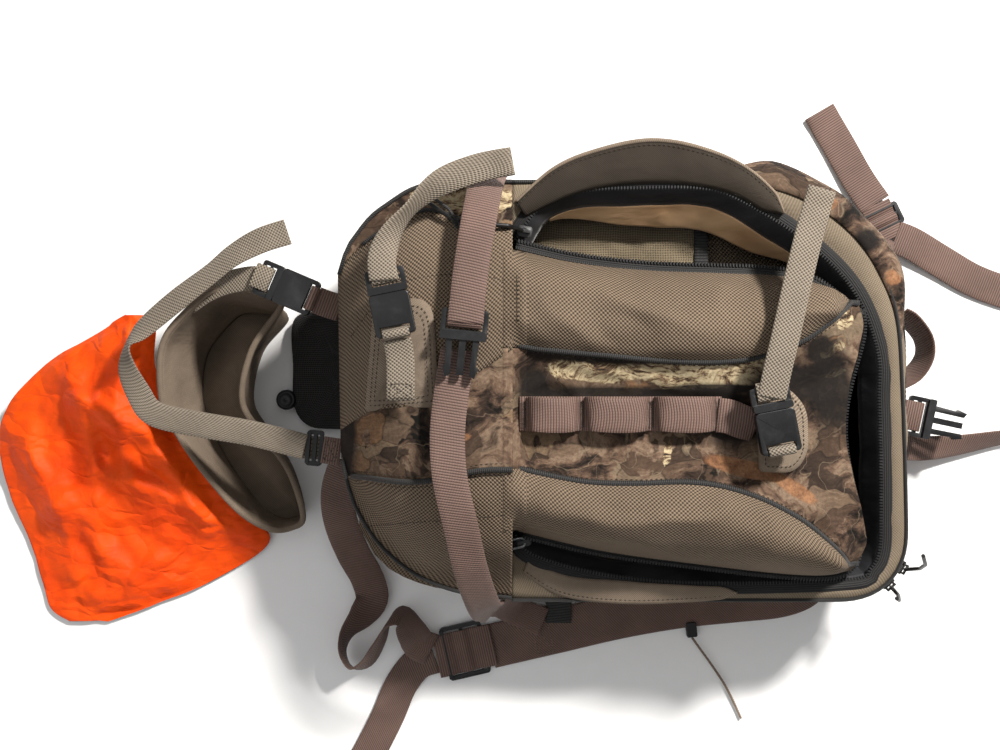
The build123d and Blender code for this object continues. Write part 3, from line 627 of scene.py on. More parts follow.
def cushion(name, top, under, material, lining, flip=False, marks=None):
    """Closed piece between two grids of the same size."""
    top = [[Vector(p) for p in row] for row in top]
    under = [[Vector(p) for p in row] for row in under]
    high, wide = len(top), len(top[0])
    verts = [p for row in top + under for p in row]
    tables = lengths(top), lengths(under)
    shift = high * wide
    faces, uvs, picks = [], [], []
    for r in range(high - 1):
        for c in range(wide - 1):
            square = [(r, c), (r, c + 1), (r + 1, c + 1), (r + 1, c)]
            for side, order in ((0, square), (1, square[::-1])):
                if flip:
                    order = order[::-1]
                faces.append([a * wide + b + side * shift for a, b in order])
                uvs += [tables[side][a][b] for a, b in order]
                picks.append(side)
    border = [(0, c) for c in range(wide)] + [(r, wide - 1) for r in range(1, high)]
    border += [(high - 1, c) for c in range(wide - 2, -1, -1)] + [(r, 0) for r in range(high - 2, 0, -1)]
    for i, here in enumerate(border):
        there = border[(i + 1) % len(border)]
        wall = [(here, 1), (there, 1), (there, 0), (here, 0)]
        if flip:
            wall.reverse()
        faces.append([a * wide + b + side * shift for (a, b), side in wall])
        drop = (top[here[0]][here[1]] - under[here[0]][here[1]]).length * MM
        for (a, b), side in wall:
            u, v = tables[0][a][b]
            uvs.append((u, v - drop) if side else (u, v))
        picks.append(0)
    values = {label: [fn(v) for v in verts] for label, fn in (marks or {}).items()}
    return make(name, verts, faces, [material, lining], uvs, picks, values)


def sweep(name, frames, section, material):
    """Closed section, as (across, up) pairs for each frame, swept along (place, across, up) frames."""
    rows = []
    for k, (place, across, up) in enumerate(frames):
        rows.append([place + across * a + up * b for a, b in section(k)])
    wide = len(rows[0])
    table = lengths([row + [row[0]] for row in rows])
    faces, uvs = [], []
    for r in range(len(rows) - 1):
        for c in range(wide):
            d = (c + 1) % wide
            faces.append([r * wide + c, r * wide + d, (r + 1) * wide + d, (r + 1) * wide + c])
            uvs += [table[r][c], table[r][c + 1], table[r + 1][c + 1], table[r + 1][c]]
    faces.append(list(range(wide))[::-1])
    uvs += [table[0][c] for c in range(wide)][::-1]
    faces.append([(len(rows) - 1) * wide + c for c in range(wide)])
    uvs += [table[-1][c] for c in range(wide)]
    return make(name, [p for row in rows for p in row], faces, [material], uvs)


def strap_frames(route, width, pitch=4.0):
    """Frames along a strap's (x, y, z, tilt, width) points, the same way as the CAD sweeps them."""
    route = [tuple(p) + (0,) * (4 - len(p)) for p in route]
    route = [p if len(p) > 4 else p + (width,) for p in route]
    total = sum((Vector(a[:3]) - Vector(b[:3])).length for a, b in zip(route, route[1:]))
    count = max(8, int(total / pitch))
    frames, widths = [], []
    last = len(route) - 1
    for i in range(count + 1):
        u = last * i / count
        x, y, z, tilt, wide = smooth(route, u)
        ahead = Vector(smooth(route, min(u + 0.02, last))[:3])
        behind = Vector(smooth(route, max(u - 0.02, 0))[:3])
        run = (ahead - behind).normalized()
        level = UP.cross(run).normalized()
        across = Matrix.Rotation(math.radians(tilt), 3, run) @ level
        frames.append((Vector((x, y, z)), across, run.cross(across)))
        widths.append(wide)
    return frames, widths


WEB_CUP, HEM_RISE = 0.35, 1.5


def ribbon(name, route, width, material, thickness=1.8, hem=0.0, pitch=4.0):
    """Webbing with softly rounded edges; hem is the length of a doubled free tip."""
    frames, widths = strap_frames(route, width, pitch)
    run = distances([place for place, _, _ in frames])

    def section(k):
        half = widths[k] / 2
        thick = thickness / 2
        top = thick + (HEM_RISE if hem and run[-1] - run[k] < hem else 0)
        across = (-1, -0.93, -0.6, -0.2, 0.2, 0.6, 0.93, 1)
        sag = [WEB_CUP * (1 - a * a) for a in across]
        rim = [0.45 if abs(a) == 1 else 1 for a in across]
        low = [(a * half, s - thick * e) for a, s, e in zip(across, sag, rim)]
        return low + [(a * half, s + top * e) for a, s, e in zip(across, sag, rim)][::-1]

    obj = sweep(name, frames, section, material)
    return obj, frames, run


TUBE_SIDES = 10


def tube(name, points, radius, material, taper=None):
    """Round tube through closely spaced points."""
    points = [Vector(p) for p in points]
    frames = []
    for i, point in enumerate(points):
        run = heading(points, i)
        across = UP.cross(run)
        across = across.normalized() if across.length > 0.05 else Vector((1, 0, 0))
        frames.append((point, across, run.cross(across)))

    def section(k):
        r = radius * (taper(k / (len(points) - 1)) if taper else 1)
        turns = [2 * math.pi * i / TUBE_SIDES for i in range(TUBE_SIDES)]
        return [(r * math.cos(t), r * math.sin(t)) for t in turns]

    return sweep(name, frames, section, material)


STITCHES = {}
TEETH = {}
STITCH_HALF = 0.42
LENS = [(-1, 0, 0), (0, 1, 0), (0, 0, 1), (0, -1, 0), (0, 0, -1), (1, 0, 0)]
LENS_FACES = [(0, 2, 1), (0, 3, 2), (0, 4, 3), (0, 1, 4), (5, 1, 2), (5, 2, 3), (5, 3, 4), (5, 4, 1)]


def stitch(body, points, up=(0, 0, 1), tone="dark", pitch=3.6, long=2.5, lift=0.15):
    """Adds a row of stitches along some points to that body's stitching."""
    points = [Vector(p) for p in points]
    store = STITCHES.setdefault((body, tone), ([], []))
    for _, place, ahead in paced(points, pitch):
        lifted = (Vector(up) - ahead * ahead.dot(Vector(up))).normalized()
        place = place + lifted * lift
        side = ahead.cross(lifted)
        base = len(store[0])
        for a, b, c in LENS:
            store[0].append(place + ahead * a * long / 2 + side * b * STITCH_HALF + lifted * c * STITCH_HALF)
        store[1].extend([tuple(base + v for v in face) for face in LENS_FACES])


def coil(body, points, ups, pitch, wide, tall):
    """Adds zip coil teeth across a line to that body's teeth."""
    store = TEETH.setdefault(body, ([], []))
    for k, place, ahead in paced(points, pitch):
        up = (ups[k] - ahead * ahead.dot(ups[k])).normalized()
        across = ahead.cross(up)
        base = len(store[0])
        for a in (-1, 1):
            for b, c in ((-1, 0.35), (-0.6, 1), (0.6, 1), (1, 0.35), (1, -0.6), (-1, -0.6)):
                bulge = 0.42 if c == 1 else 0.62
                store[0].append(place + ahead * a * bulge + across * b * wide / 2 + up * c * tall / 2)
        ring = range(6)
        store[1].extend([[base + v for v in ring], [base + 6 + v for v in ring][::-1]])
        store[1].extend([[base + v, base + 6 + v, base + 6 + (v + 1) % 6, base + (v + 1) % 6] for v in ring])


WELD, FLAT_ANGLE, BEVEL_ANGLE, SHARP_ANGLE = 2e-6, math.radians(2), math.radians(28), math.radians(24)


def refined(node, width, material, segments=2):
    """Copy of a CAD node with its edges rounded, standing for that node."""
    source = NODES[node]
    work = bmesh.new()
    work.from_mesh(source.data)
    bmesh.ops.remove_doubles(work, verts=work.verts, dist=WELD)
    bmesh.ops.dissolve_limit(work, angle_limit=FLAT_ANGLE, verts=work.verts, edges=work.edges)
    mesh = bpy.data.meshes.new(node + "_moulded")
    work.to_mesh(mesh)
    work.free()
    mesh.materials.clear()
    mesh.materials.append(material)
    mesh.polygons.foreach_set("use_smooth", [True] * len(mesh.polygons))
    obj = bpy.data.objects.new(node + "_moulded", mesh)
    bpy.context.scene.collection.objects.link(obj)
    soften = obj.modifiers.new("edges", "BEVEL")
    soften.width = width * MM
    soften.segments = segments
    soften.limit_method = "ANGLE"
    soften.angle_limit = BEVEL_ANGLE
    soften.use_clamp_overlap = True
    bake(obj)
    obj.data.set_sharp_from_angle(angle=SHARP_ANGLE)
    return finish_piece(obj, source["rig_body"], [node])


# ===== Bag skin =====
RIM_HEIGHT, RIM_SLOPE = 142.0, math.tan(math.radians(8))
SEAM = 88.0
HINGE_X = -86.0
OUTLINES = [  # height, low x, high x, half width, corner radius
    (14, -200, 202, 134, 60), (48, -212, 217, 152, 76), (88, -216, 223, 160, 84),
    (130, -214, 213, 160, 84), (172, -204, 186, 152, 76),
]
CORNER_SHARE = (1.45, 1.13, 1.45, 0.55)
ARC_STEPS, LONG_STEPS, END_STEPS = 10, 34, 26


def rim_z(y, lift=0.0):
    """Height of the bag's leaning rim."""
    return RIM_HEIGHT + lift + y * RIM_SLOPE


def ring(z, inset=0.0):
    """Anticlockwise loop of the bag at a height, the same number of points at every height."""
    low, high, half, radius = (along([(o[0], o[k]) for o in OUTLINES], z) for k in (1, 2, 3, 4))
    low, high, half = low + inset, high - inset, half - inset
    corners = ((high, half), (low, half), (low, -half), (high, -half))
    points, arcs = [], []
    for i, ((x, y), share) in enumerate(zip(corners, CORNER_SHARE)):
        r = max(radius * share - inset, 5)
        cx, cy = x - math.copysign(r, x), y - math.copysign(r, y)
        arcs.append([
            (cx + r * math.cos(math.radians(90 * i + 90 * k / ARC_STEPS)),
             cy + r * math.sin(math.radians(90 * i + 90 * k / ARC_STEPS))) for k in range(ARC_STEPS + 1)
        ])
    for i, arc in enumerate(arcs):
        points += arc
        start, end = arc[-1], arcs[(i + 1) % 4][0]
        count = LONG_STEPS if i % 2 == 0 else END_STEPS
        points += [(lerp(start[0], end[0], t), lerp(start[1], end[1], t)) for t in steps(count)[1:-1]]
    return points


LOOP = len(ring(SEAM))
RINGS_LOW, RINGS_PER_MM = 8, 2
RINGS = [ring(RINGS_LOW + i / RINGS_PER_MM) for i in range(340)]


def ring_at(z):
    """The bag's loop nearest to a height, from the table of loops."""
    return RINGS[min(len(RINGS) - 1, max(0, round((z - RINGS_LOW) * RINGS_PER_MM)))]


def outward(x, y):
    """Level direction out of the bag at a place on its wall."""
    return (Vector((x, y, 0)) - Vector((max(-100, min(100, x)), max(-60, min(60, y)), 0))).normalized()


def wall_point(c, share, bottom):
    """Point of column c on the wall; share runs from the bottom height to the leaning rim."""
    z = lerp(bottom, 140, share)
    for _ in range(3):
        x, y = ring_at(z)[c]
        z = lerp(bottom, rim_z(y), share)
    sag = (rumple(x, y, z, 70, 3) * 3.2 + rumple(x, y, z, 26, 5) * 1.4
           + ridge(x, y, z * 1.8, 48, 8) * 1.8 - 1.2)
    edge = min(1.0, 4 * share, 6 * (1 - share))
    return Vector((x, y, z)) + outward(x, y) * (sag * edge - 0.4)


def rear_point(c, t):
    """Point of column c on the rear wall, at share t of its height."""
    z = lerp(9, SEAM - 1.5, t)
    x, y = ring_at(z)[c]
    sag = rumple(x, y, z, 80, 3) * 4 + rumple(x, y, z, 30, 5) * 1.6 + ridge(x, y, z * 1.6, 55, 4) * 2.4
    edge = min(1.0, 5 * t, 5 * (1 - t))
    turn = math.degrees(math.atan2(y - 20, x - 60))
    # The cloth bulges at the top end's open corner
    sag += 13 * math.exp(-((turn - 44) / 30) ** 2) * math.sin(math.pi * t ** 1.3)
    return Vector((x, y, z)) + outward(x, y) * ((sag - 1.0) * edge - 0.4)


def blob(x0, y0, rx, ry, turn=0.0):
    """Soft oval mark over the plan: 1 in the middle, 0 from its edge out."""
    cos_t, sin_t = math.cos(math.radians(turn)), math.sin(math.radians(turn))

    def value(p):
        dx, dy = p[0] - x0, p[1] - y0
        a, b = (dx * cos_t + dy * sin_t) / rx, (dy * cos_t - dx * sin_t) / ry
        return math.exp(-1.1 * (a * a + b * b))

    return value


def marks(bark=(), rust=(), dark=()):
    """One attribute for each kind of camouflage mark, from its blobs: bark and rust are print, dark is
    painted shade.
    """
    tables = {"bark": bark, "rust": rust, "dark": dark}
    return {key: (lambda p, spots=spots: max([0.0] + [s(p) for s in spots])) for key, spots in tables.items()}


# Bark and rust blobs are print; the dark blobs are painted shade at the top end's open corner and along the
# bottom end.
SIDE_PRINT_AND_SHADE_MARKS = marks(bark=[blob(-60, 165, 30, 30), blob(40, -170, 40, 40)],
                   rust=[blob(150, 150, 22, 26), blob(205, 92, 16, 14), blob(120, -160, 20, 30)],
                   dark=[blob(190, 120, 40, 20, -50), blob(-215, 0, 20, 90)])
SIDES = ("left", "right", "top", "bottom")
rear = grid("rear_skin", [[rear_point(c, t) for c in range(LOOP)] for t in steps(26)], CAMO, 2.2,
            BLACK_LINING, closed=True, marks=SIDE_PRINT_AND_SHADE_MARKS)
finish_piece(rear, "pack", [f"rear_wall_{side}" for side in SIDES])
gusset = grid("gusset_skin", [[wall_point(c, t, SEAM + 1.5) for c in range(LOOP)] for t in steps(22)],
              GUSSET, 2.2, BLACK_LINING, closed=True)
finish_piece(gusset, "pack", [f"front_gusset_{side}" for side in SIDES])

# Main zip round the seam: tape, teeth and stitches.
ZIP_END_X = -150
seam_line = [Vector((*p, SEAM)) for p in ring(SEAM, -0.9)]
start = min((c for c in range(LOOP) if seam_line[c].y > 0), key=lambda c: abs(seam_line[c].x - ZIP_END_X))
order = [seam_line[(start - i) % LOOP] for i in range(LOOP)]
main_line = [p for p in order if p.x > ZIP_END_X]
main_out = [Vector((p.x * 0.55, p.y, 0)).normalized() for p in main_line]
tape_rows = [[p + UP * lift + away * out for p, away in zip(main_line, main_out)]
             for lift, out in ((-6, -0.6), (-3, 0.5), (0, 0.8), (3, 0.5), (6, -0.6))]
main_tape = grid("main_zip_tape", tape_rows, TAPE, 0.8)
finish_piece(main_tape, "pack", ["main_zip"])
coil("pack", [p + away * 1.2 for p, away in zip(main_line, main_out)], main_out, 2.6, 4.4, 1.5)
for lift in (-5, 5):
    stitch("pack", [p + UP * lift + away * 0.6 for p, away in zip(main_line[::2], main_out[::2])],
           (1, 0, 0.2))

# ===== Rim margin, its zip and the inner facing =====
OPENING = [
    (-86, 112), (-66, 138), (-37, 149), (7, 151), (50, 151), (76, 145), (128, 114), (167, 77), (188, 31),
    (191, -7), (194, -51), (196, -96), (196, -122), (190, -136), (172, -146), (55, -149), (-18, -142),
    (-72, -126), (-86, -109),
]
RIM_STEPS = 170
zip_line = [Vector((p.x, p.y, rim_z(p.y, 0.5)))
            for p in route_points([(x, y, 0) for x, y in OPENING], RIM_STEPS)]
rim_loop = [wall_point(c, 1.0, SEAM + 1.5) for c in range(LOOP)]


def rim_edge(point):
    """Nearest place on the bag's rim to a place on the zip line."""
    best = min(range(LOOP), key=lambda c: (rim_loop[c] - point).length)
    near = []
    for a, b in ((best - 1, best), (best, best + 1)):
        p, q = rim_loop[a % LOOP], rim_loop[b % LOOP]
        t = max(0.0, min(1.0, (point - p).dot(q - p) / (q - p).length_squared))
        near.append(p.lerp(q, t))
    return min(near, key=lambda n: (n - point).length)


def relaxed(line, passes, weight=1):
    """A line of points with its bends evened out, its two ends held."""
    for _ in range(passes):
        inner = [(a + b * weight + c) / (2 + weight) for a, b, c in zip(line, line[1:], line[2:])]
        line = [line[0]] + inner + [line[-1]]
    return line


edge_line = relaxed([rim_edge(p) for p in zip_line], 3, 2)
margin_rows = []
for t in steps(6):
    row = []
    for k, (outer, inner) in enumerate(zip(edge_line, zip_line)):
        p = outer.lerp(inner, t)
        puff = 3.2 * math.sin(math.pi * min(1, t * 1.15)) ** 0.8 if t < 0.87 else 0.6
        row.append(p + Vector((0, 0, puff + rumple(p.x, p.y, 0, 18, 2) * 1.1 * math.sin(math.pi * t))))
    margin_rows.append(row)
margin = grid("rim_margin_cloth", margin_rows, GUSSET, 1.6, BLACK_LINING, flip=True)
finish_piece(margin, "pack", ["rim_margin"])
rim_piping = tube("rim_piping", [p + UP * 1.2 for p in edge_line], 1.5, PIPING)
finish_piece(rim_piping, "pack")

# Soft fold of the rear compartment that shows beyond the rim at the top end's open corner.
bulge_rows = []
for reach, drop in ((-2.0, 3.4), (2.5, 3.0), (8, 1.0), (15, -5), (20, -15), (21, -28), (17, -42), (9, -52)):
    row = []
    for k in range(30, 76):
        p = edge_line[k]
        ahead = (edge_line[k + 1] - edge_line[k - 1]).normalized()
        fade = ease((k - 30) / 14) * ease((75 - k) / 14)
        wave = 1 + 0.18 * rumple(p.x, p.y, drop, 34, 5)
        out = Vector((ahead.y, -ahead.x, 0)) * (reach * wave * fade)
        row.append(p - out + Vector((0, 0, drop * (0.4 + 0.6 * fade) - 0.4)))
    bulge_rows.append(row)
# Its rust blobs are print; its dark blob is painted shade in the fold.
bulge = grid("corner_fold_cloth", bulge_rows, CAMO, 1.4, BLACK_LINING,
             marks=marks(rust=[blob(143, 140, 15, 7, -30), blob(196, 84, 9, 7)],
                         dark=[blob(176, 112, 12, 10)]))
finish_piece(bulge, "pack")


def inward(line, k):
    """Level direction from a line towards the middle of the opening."""
    ahead = heading(line, k)
    return Vector((ahead.y, -ahead.x, 0)).normalized()


def beside(line, reach, lift):
    """A level line's points moved towards its opening, and up."""
    return [p + inward(line, k) * reach + UP * lift for k, p in enumerate(line)]


zip_rows = [beside(zip_line, reach, lift)
            for reach, lift in ((-6.0, 1.6), (-3.0, 1.9), (0.0, 1.6), (2.6, 0.8))]
rim_tape = grid("rim_zip_tape", zip_rows, TAPE, 0.8)
finish_piece(rim_tape, "pack")
coil("pack", beside(zip_line, 2.2, 1.8), [UP] * RIM_STEPS, 2.3, 3.0, 1.6)
stitch("pack", beside(zip_line, -4.5, 2.0))

facing_rows = []
for t in steps(5):
    row = []
    for k, p in enumerate(zip_line):
        deep = 17 + 3 * rumple(p.x, p.y, 0, 60, 4)
        row.append(p + inward(zip_line, k) * (1.5 + 11 * t + rumple(p.x, p.y, t * 30, 24) * 1.4 * t)
                   + Vector((0, 0, -0.8 - deep * t ** 1.3)))
    facing_rows.append(row)
facing = grid("inner_facing", facing_rows, BLACK_LINING, 0.9)
finish_piece(facing, "pack")
for share in (2, 4):
    stitch("pack", facing_rows[share][6:92], (0, -0.5, 1), "dark", 4.2)

# Tan lining that sags from the facing down to the divider along the open side.
LINING_WIDTH = [(-62, 0), (-30, 8), (20, 14), (70, 15), (100, 12), (122, 6), (140, 0)]
lining_rows = []
for t in steps(14):
    row = []
    for k in range(7, 58):
        p = facing_rows[-1][k]
        wide = along(LINING_WIDTH, p.x)
        q = p + inward(zip_line, k) * wide * t + Vector((0, 0, 1.0 - min(p.z - 119, 4 + wide) * t))
        folds = 3.6 * rumple(q.x, q.y, 0, 30, 9) + 2.4 * ridge(q.x, q.y * 1.6, 0, 26, 2) - 1
        q.z += folds * math.sin(math.pi * t) * wide / 22
        row.append(q)
    lining_rows.append(row)
lining = grid("side_lining", lining_rows, LINING, 0.8)
finish_piece(lining, "pack")


# ===== Crown: the fixed lower part of the front =====
STATIONS = [  # x, heights over the rim at each sixth
    (-216, (0, 0, 0, 0, 0)), (-207, (8, 11, 10, 9, 6)), (-200, (13, 18, 16, 15, 10)),
    (-178, (30, 40, 36, 34, 22)), (-140, (42, 54, 44, 44, 28)), (-86, (44, 58, 46, 46, 30)),
]


SPAN_LOW = [(-214.5, 50), (-208, 79), (-200, 97), (-190, 113), (-178, 126), (-160, 140), (-140, 149.5),
            (-120, 155), (-86, 158.5)]
SPAN_HIGH = [(-214, 86), (-208, 104), (-200, 116), (-190, 128), (-178, 137), (-160, 148), (-140, 153),
             (-120, 154), (-86, 153.5)]


def crown_span(x):
    """The bag rim's two edges across the pack at an x."""
    return -along(SPAN_LOW, x), along(SPAN_HIGH, x)


def crown_z(x, y):
    """Height of the crown's cloth."""
    low, high = crown_span(x)
    share = (y - low) / (high - low)
    heights = [along([(s[0], s[1][k]) for s in STATIONS], x) for k in range(5)]
    rise = smooth([(0,)] + [(h,) for h in heights] + [(0,)], share * 6)[0]
    rise = max(0.0, rise)
    dents = rumple(x, y, 0, 46, 6) * 3.0 + rumple(x, y, 0, 20, 1) * 1.2
    return rim_z(y) + rise + dents * min(1, rise / 14)


def crown_patch(name, y_low, y_high, material, replaces=(), across=26, spots=None):
    """Height-field piece of the crown between two lines of y along x."""
    rows = []
    for t in steps(30):
        x = lerp(-215, HINGE_X, 1 - (1 - t) ** 1.25)
        span = crown_span(x)
        ys = [lerp(y_low(x, *span), y_high(x, *span), u) for u in steps(across)]
        rows.append([(x, y, crown_z(x, y)) for y in ys])
    obj = grid(name, rows, material, 2.6, BLACK_LINING, flip=True, marks=spots)
    return finish_piece(obj, "pack", replaces)


PIPE_LOW = [(-216, -64), (-194, -64), (-153, -64.5), (-109, -56), (-86, -55)]
CAMO_TOP = [(-216, -30), (-188, -14), (-160, -10), (-120, 8), (-86, 30)]
TAUPE_TOP = [(-216, 90), (-190, 112), (-150, 132), (-120, 124), (-86, 118)]


def lower_line(x, low, _):
    return max(low + 4, along(PIPE_LOW, x))


def camo_line(x, *_):
    return along(CAMO_TOP, x)


def taupe_line(x, _, high):
    return min(high - 3, along(TAUPE_TOP, x))


# Bark and rust blobs are print; the dark blob is painted shade at the bag's bottom end.
CROWN_PRINT_AND_SHADE_MARKS = marks(bark=[blob(-128, 150, 34, 14, 10), blob(-110, 135, 30, 12, 20)],
                    rust=[blob(-128, -34, 14, 4, 12)], dark=[blob(-212, -30, 12, 50)])
crown_patch("crown_lower_pod", lambda x, low, high: low, lower_line, WEAVE,
            ["lower_front_panel"])
crown_patch("crown_camo", lower_line, camo_line, CAMO, spots=CROWN_PRINT_AND_SHADE_MARKS)
crown_patch("crown_upper_pod", camo_line, taupe_line, WEAVE)
crown_patch("crown_bark_edge", taupe_line, lambda x, low, high: high, CAMO, across=10,
            spots=CROWN_PRINT_AND_SHADE_MARKS)


def on_crown(points, lift=0.0):
    return [Vector((x, y, crown_z(x, y) + lift)) for x, y in points]


def line_of(table, x0, x1):
    """Forty even steps of x along a table's line."""
    return [(lerp(x0, x1, t), along(table, lerp(x0, x1, t))) for t in steps(40)]


def piping(name, line, radius, body="pack"):
    finish_piece(tube(name, line, radius, PIPING), body)


piping("crown_piping_lower", on_crown(line_of(PIPE_LOW, -206, -86), 1.4), 2.1)
piping("crown_piping_upper", on_crown(line_of(TAUPE_TOP, -196, -86), 0.8), 1.4)
seam_xs = [lerp(-214, -86, 1 - (1 - t) ** 1.4) for t in steps(40)]
for edge, side in enumerate(("right", "left")):
    rim_seam = []
    for x in seam_xs:
        y = crown_span(x)[edge]
        rim_seam.append(Vector((x, y, rim_z(y) + 1.2)))
    seam_xs = [p.x for p in rim_seam]
    piping(f"crown_rim_piping_{side}", rim_seam, 1.5)
for table, shift in ((PIPE_LOW, 4.2), (PIPE_LOW, -4.2), (TAUPE_TOP, -4.5)):
    stitch("pack", on_crown([(x, y + shift) for x, y in line_of(table, -204, -88)]))
for seam in ([(-205, 40), (-170, 76), (-120, 84), (-88, 78)],
             [(-200, -104), (-160, -96), (-120, -92), (-88, -88)]):
    path = route_points([(x, y, 0) for x, y in seam], 40)
    stitch("pack", on_crown([(p.x, p.y) for p in path]), pitch=3.2)


# ===== Front panel: two domed pods and the centre strip between them =====
FLAP_X = -83.5
EDGE_UP = [(-84, 106), (-40, 96), (14, 90), (70, 88), (108, 86), (136, 80), (156, 72), (171, 52)]
EDGE_LOW = [(-84, -104), (-20, -119), (52, -129), (112, -136), (150, -138), (176, -134)]
PIPE_UP = [(-84, 33), (-66, 30), (-23, 26), (20, 22), (63, 21), (92, 25), (121, 36), (142, 50), (160, 64)]
PIPE_DOWN = [(-84, -54.5), (-37, -64), (0, -65.5), (47, -65), (83, -73), (119, -90), (143, -109), (162, -128)]
END = [(-137, 168), (-124, 174), (-110, 175), (-72, 166), (-32, 158), (0, 160), (30, 167), (52, 170),
       (74, 160), (88, 140)]
UPPER_DOME = [(0, 187), (0.12, 195), (0.36, 200), (0.62, 196), (0.8, 187), (0.92, 174), (1, 162)]
LOWER_DOME = [(0, 181), (0.18, 191), (0.45, 193), (0.7, 183), (0.88, 165), (1, 146)]
VALLEY = [(0, 181), (0.2, 175), (0.45, 171.5), (0.7, 173), (0.88, 180), (1, 187)]
UNDER = [(-142, 120), (-124, 132), (-106, 147), (-61, 151), (27, 152), (80, 155), (112, 158)]
FLAP_LENGTH = [(-84, 0.94), (-40, 0.98), (20, 1.03), (80, 1.0), (120, 0.95), (150, 0.86), (178, 0.76)]


def flap_height(x, y, zone, t):
    """Height of the front panel; t runs from a pod's or the strip's seam over its dome."""
    dome = {"up": UPPER_DOME, "down": LOWER_DOME, "mid": VALLEY}[zone]
    floor_z = along(UNDER, y)
    tail = ease((along(END, y) - x) / 26)
    rise = (along(dome, t) - floor_z) * along(FLAP_LENGTH, x)
    rise = lerp(min(rise, 13), rise, tail)
    dent = rumple(x, y, 0, 52, 12) * 3.6 + rumple(x, y, 0, 22, 7) * 1.4
    if zone == "mid":
        dent += ridge(x, y * 1.5, 0, 40, 3) * 3.0 - 1.5
    else:
        dent += ridge(x + y * 0.9, y * 1.3 - x * 0.5, 0, 64, 5) * 4.4 - 1.6
    return floor_z + rise + dent * ease(min(rise / 22, t * 6 if zone != "mid" else 1, (1 - t) * 7))


def flap_piece(name, zone, low, high, material, node, across, spots=None):
    """Domed part of the front panel between two lines of y along x; returns its top rows."""
    top, under = [], []
    for u in steps(78):
        top_row, under_row = [], []
        for t in steps(across):
            x = lerp(FLAP_X, 168, u)
            for _ in range(3):
                y = lerp(along(low, x), along(high, x), t)
                x = lerp(FLAP_X, along(END, y), u)
            share = {"up": t, "down": 1 - t, "mid": t}[zone]
            z = flap_height(x, y, zone, share)
            top_row.append(Vector((x, y, z)))
            under_row.append(Vector((x, y, along(UNDER, y) - 0.6)))
        top.append(top_row)
        under.append(under_row)
    obj = cushion(name, top, under, material, TWILL_DARK, flip=True, marks=spots)
    finish_piece(obj, "front_flap", [node])
    return top


upper_rows = flap_piece("pod_upper_cloth", "up", PIPE_UP, EDGE_UP, WEAVE,
                        "front_pod_upper", 26)
lower_rows = flap_piece("pod_lower_cloth", "down", EDGE_LOW, PIPE_DOWN, WEAVE,
                        "front_pod_lower", 26)
# Bark and rust blobs are print; the dark blobs are painted shade along the upper pod's piping, beside the
# daisy chain and its tail, at the fold and towards the free end.
STRIP_PRINT_AND_SHADE_MARKS = marks(
    bark=[blob(-28, 15, 38, 9, -4), blob(28, 12, 26, 11, -8), blob(54, 13, 28, 12, 5),
          blob(88, 15, 28, 10, 12), blob(155, 52, 9, 7, 40), blob(146, 30, 13, 4, 25),
          blob(150, 14, 10, 3, 20), blob(26, -44, 3, 11, -12)],
    rust=[blob(84, -56, 42, 8, -14), blob(118, -70, 24, 7, -30)],
    dark=[blob(-30, 26, 70, 6, -3), blob(40, -4, 60, 5), blob(146, 2, 20, 34), blob(136, 30, 14, 12),
          blob(60, 2, 46, 4), blob(-70, 0, 14, 24), blob(76, -22, 30, 20), blob(0, -2, 90, 6, -1),
          blob(112, 4, 30, 20)])
strip_rows = flap_piece("centre_strip_cloth", "mid", PIPE_DOWN, PIPE_UP, CAMO,
                        "front_center_strip", 40, STRIP_PRINT_AND_SHADE_MARKS)
up_line = [row[0] + Vector((0, 0.5, 0.4)) for row in upper_rows]
down_line = [row[-1] + Vector((0, -0.5, 0.4)) for row in lower_rows]
piping("pod_upper_piping", up_line, 2.3, "front_flap")
piping("pod_lower_piping", down_line, 2.3, "front_flap")
for column in (-2, 1):
    stitch("front_flap", [row[column] + UP * 0.1 for row in strip_rows[:-2]])


def flap_z(x, y):
    """Height of the centre strip or a pod at a place on the front panel."""
    low, high = along(PIPE_DOWN, x), along(PIPE_UP, x)
    if y > high:
        return flap_height(x, y, "up", (y - high) / (along(EDGE_UP, x) - high))
    if y < low:
        return flap_height(x, y, "down", (low - y) / (low - along(EDGE_LOW, x)))
    return flap_height(x, y, "mid", (y - low) / (high - low))


# The panel's own half of the zip runs round its free edge.
outline = [row[-1] for row in upper_rows]
for end in (upper_rows[-1][::-1], strip_rows[-1][::-1], lower_rows[-1][::-1],
            [row[0] for row in lower_rows[::-1]]):
    outline += end[1:]
free_edge = route_points([(p.x, p.y, 0) for p in outline[::6]], 190)
free_edge = relaxed([Vector((p.x, p.y, rim_z(p.y, 8.5))) for p in free_edge], 4)
flap_tape_rows = [beside(free_edge, out, lift)
                  for out, lift in ((3.5, -2.6), (0.5, 0.6), (-2.4, 0.4), (-5.2, -0.6))]
flap_tape = grid("flap_zip_tape", flap_tape_rows, TAPE, 0.9)
finish_piece(flap_tape, "front_flap", ["flap_zip"])
coil("front_flap", beside(free_edge, -4.4, 0.6), [UP] * len(free_edge), 2.3, 3.0, 1.7)
piping("flap_edge_piping", beside(free_edge, 1.4, 1.8), 1.5, "front_flap")

# Cloth that carries the front over the fold line.
for name, material, y0, y1, slot in (("fold_lower", WEAVE, -102, -55, "taupe_weave"),
                                     ("fold_camo", CAMO, -55, 31, "camo_cloth"),
                                     ("fold_upper", WEAVE, 31, 102, "taupe_weave")):
    rows = []
    for t in steps(12):
        x = lerp(-97, -72, t)
        over = lerp(-1.8, 0.9, ease(min(t, 1 - t) * 4))
        ys = [lerp(y0, y1, u) for u in steps(24)]
        rows.append([(x, y, lerp(crown_z(x, y), flap_z(max(x, FLAP_X), y), ease((x + 92) / 14)) + over)
                     for y in ys])
    # The dark blob is painted shade on the fold.
    fold = grid(name, rows, material, 0.8, BLACK_LINING, flip=True, marks=marks(dark=[blob(-70, 0, 14, 24)]))
    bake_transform(fold)

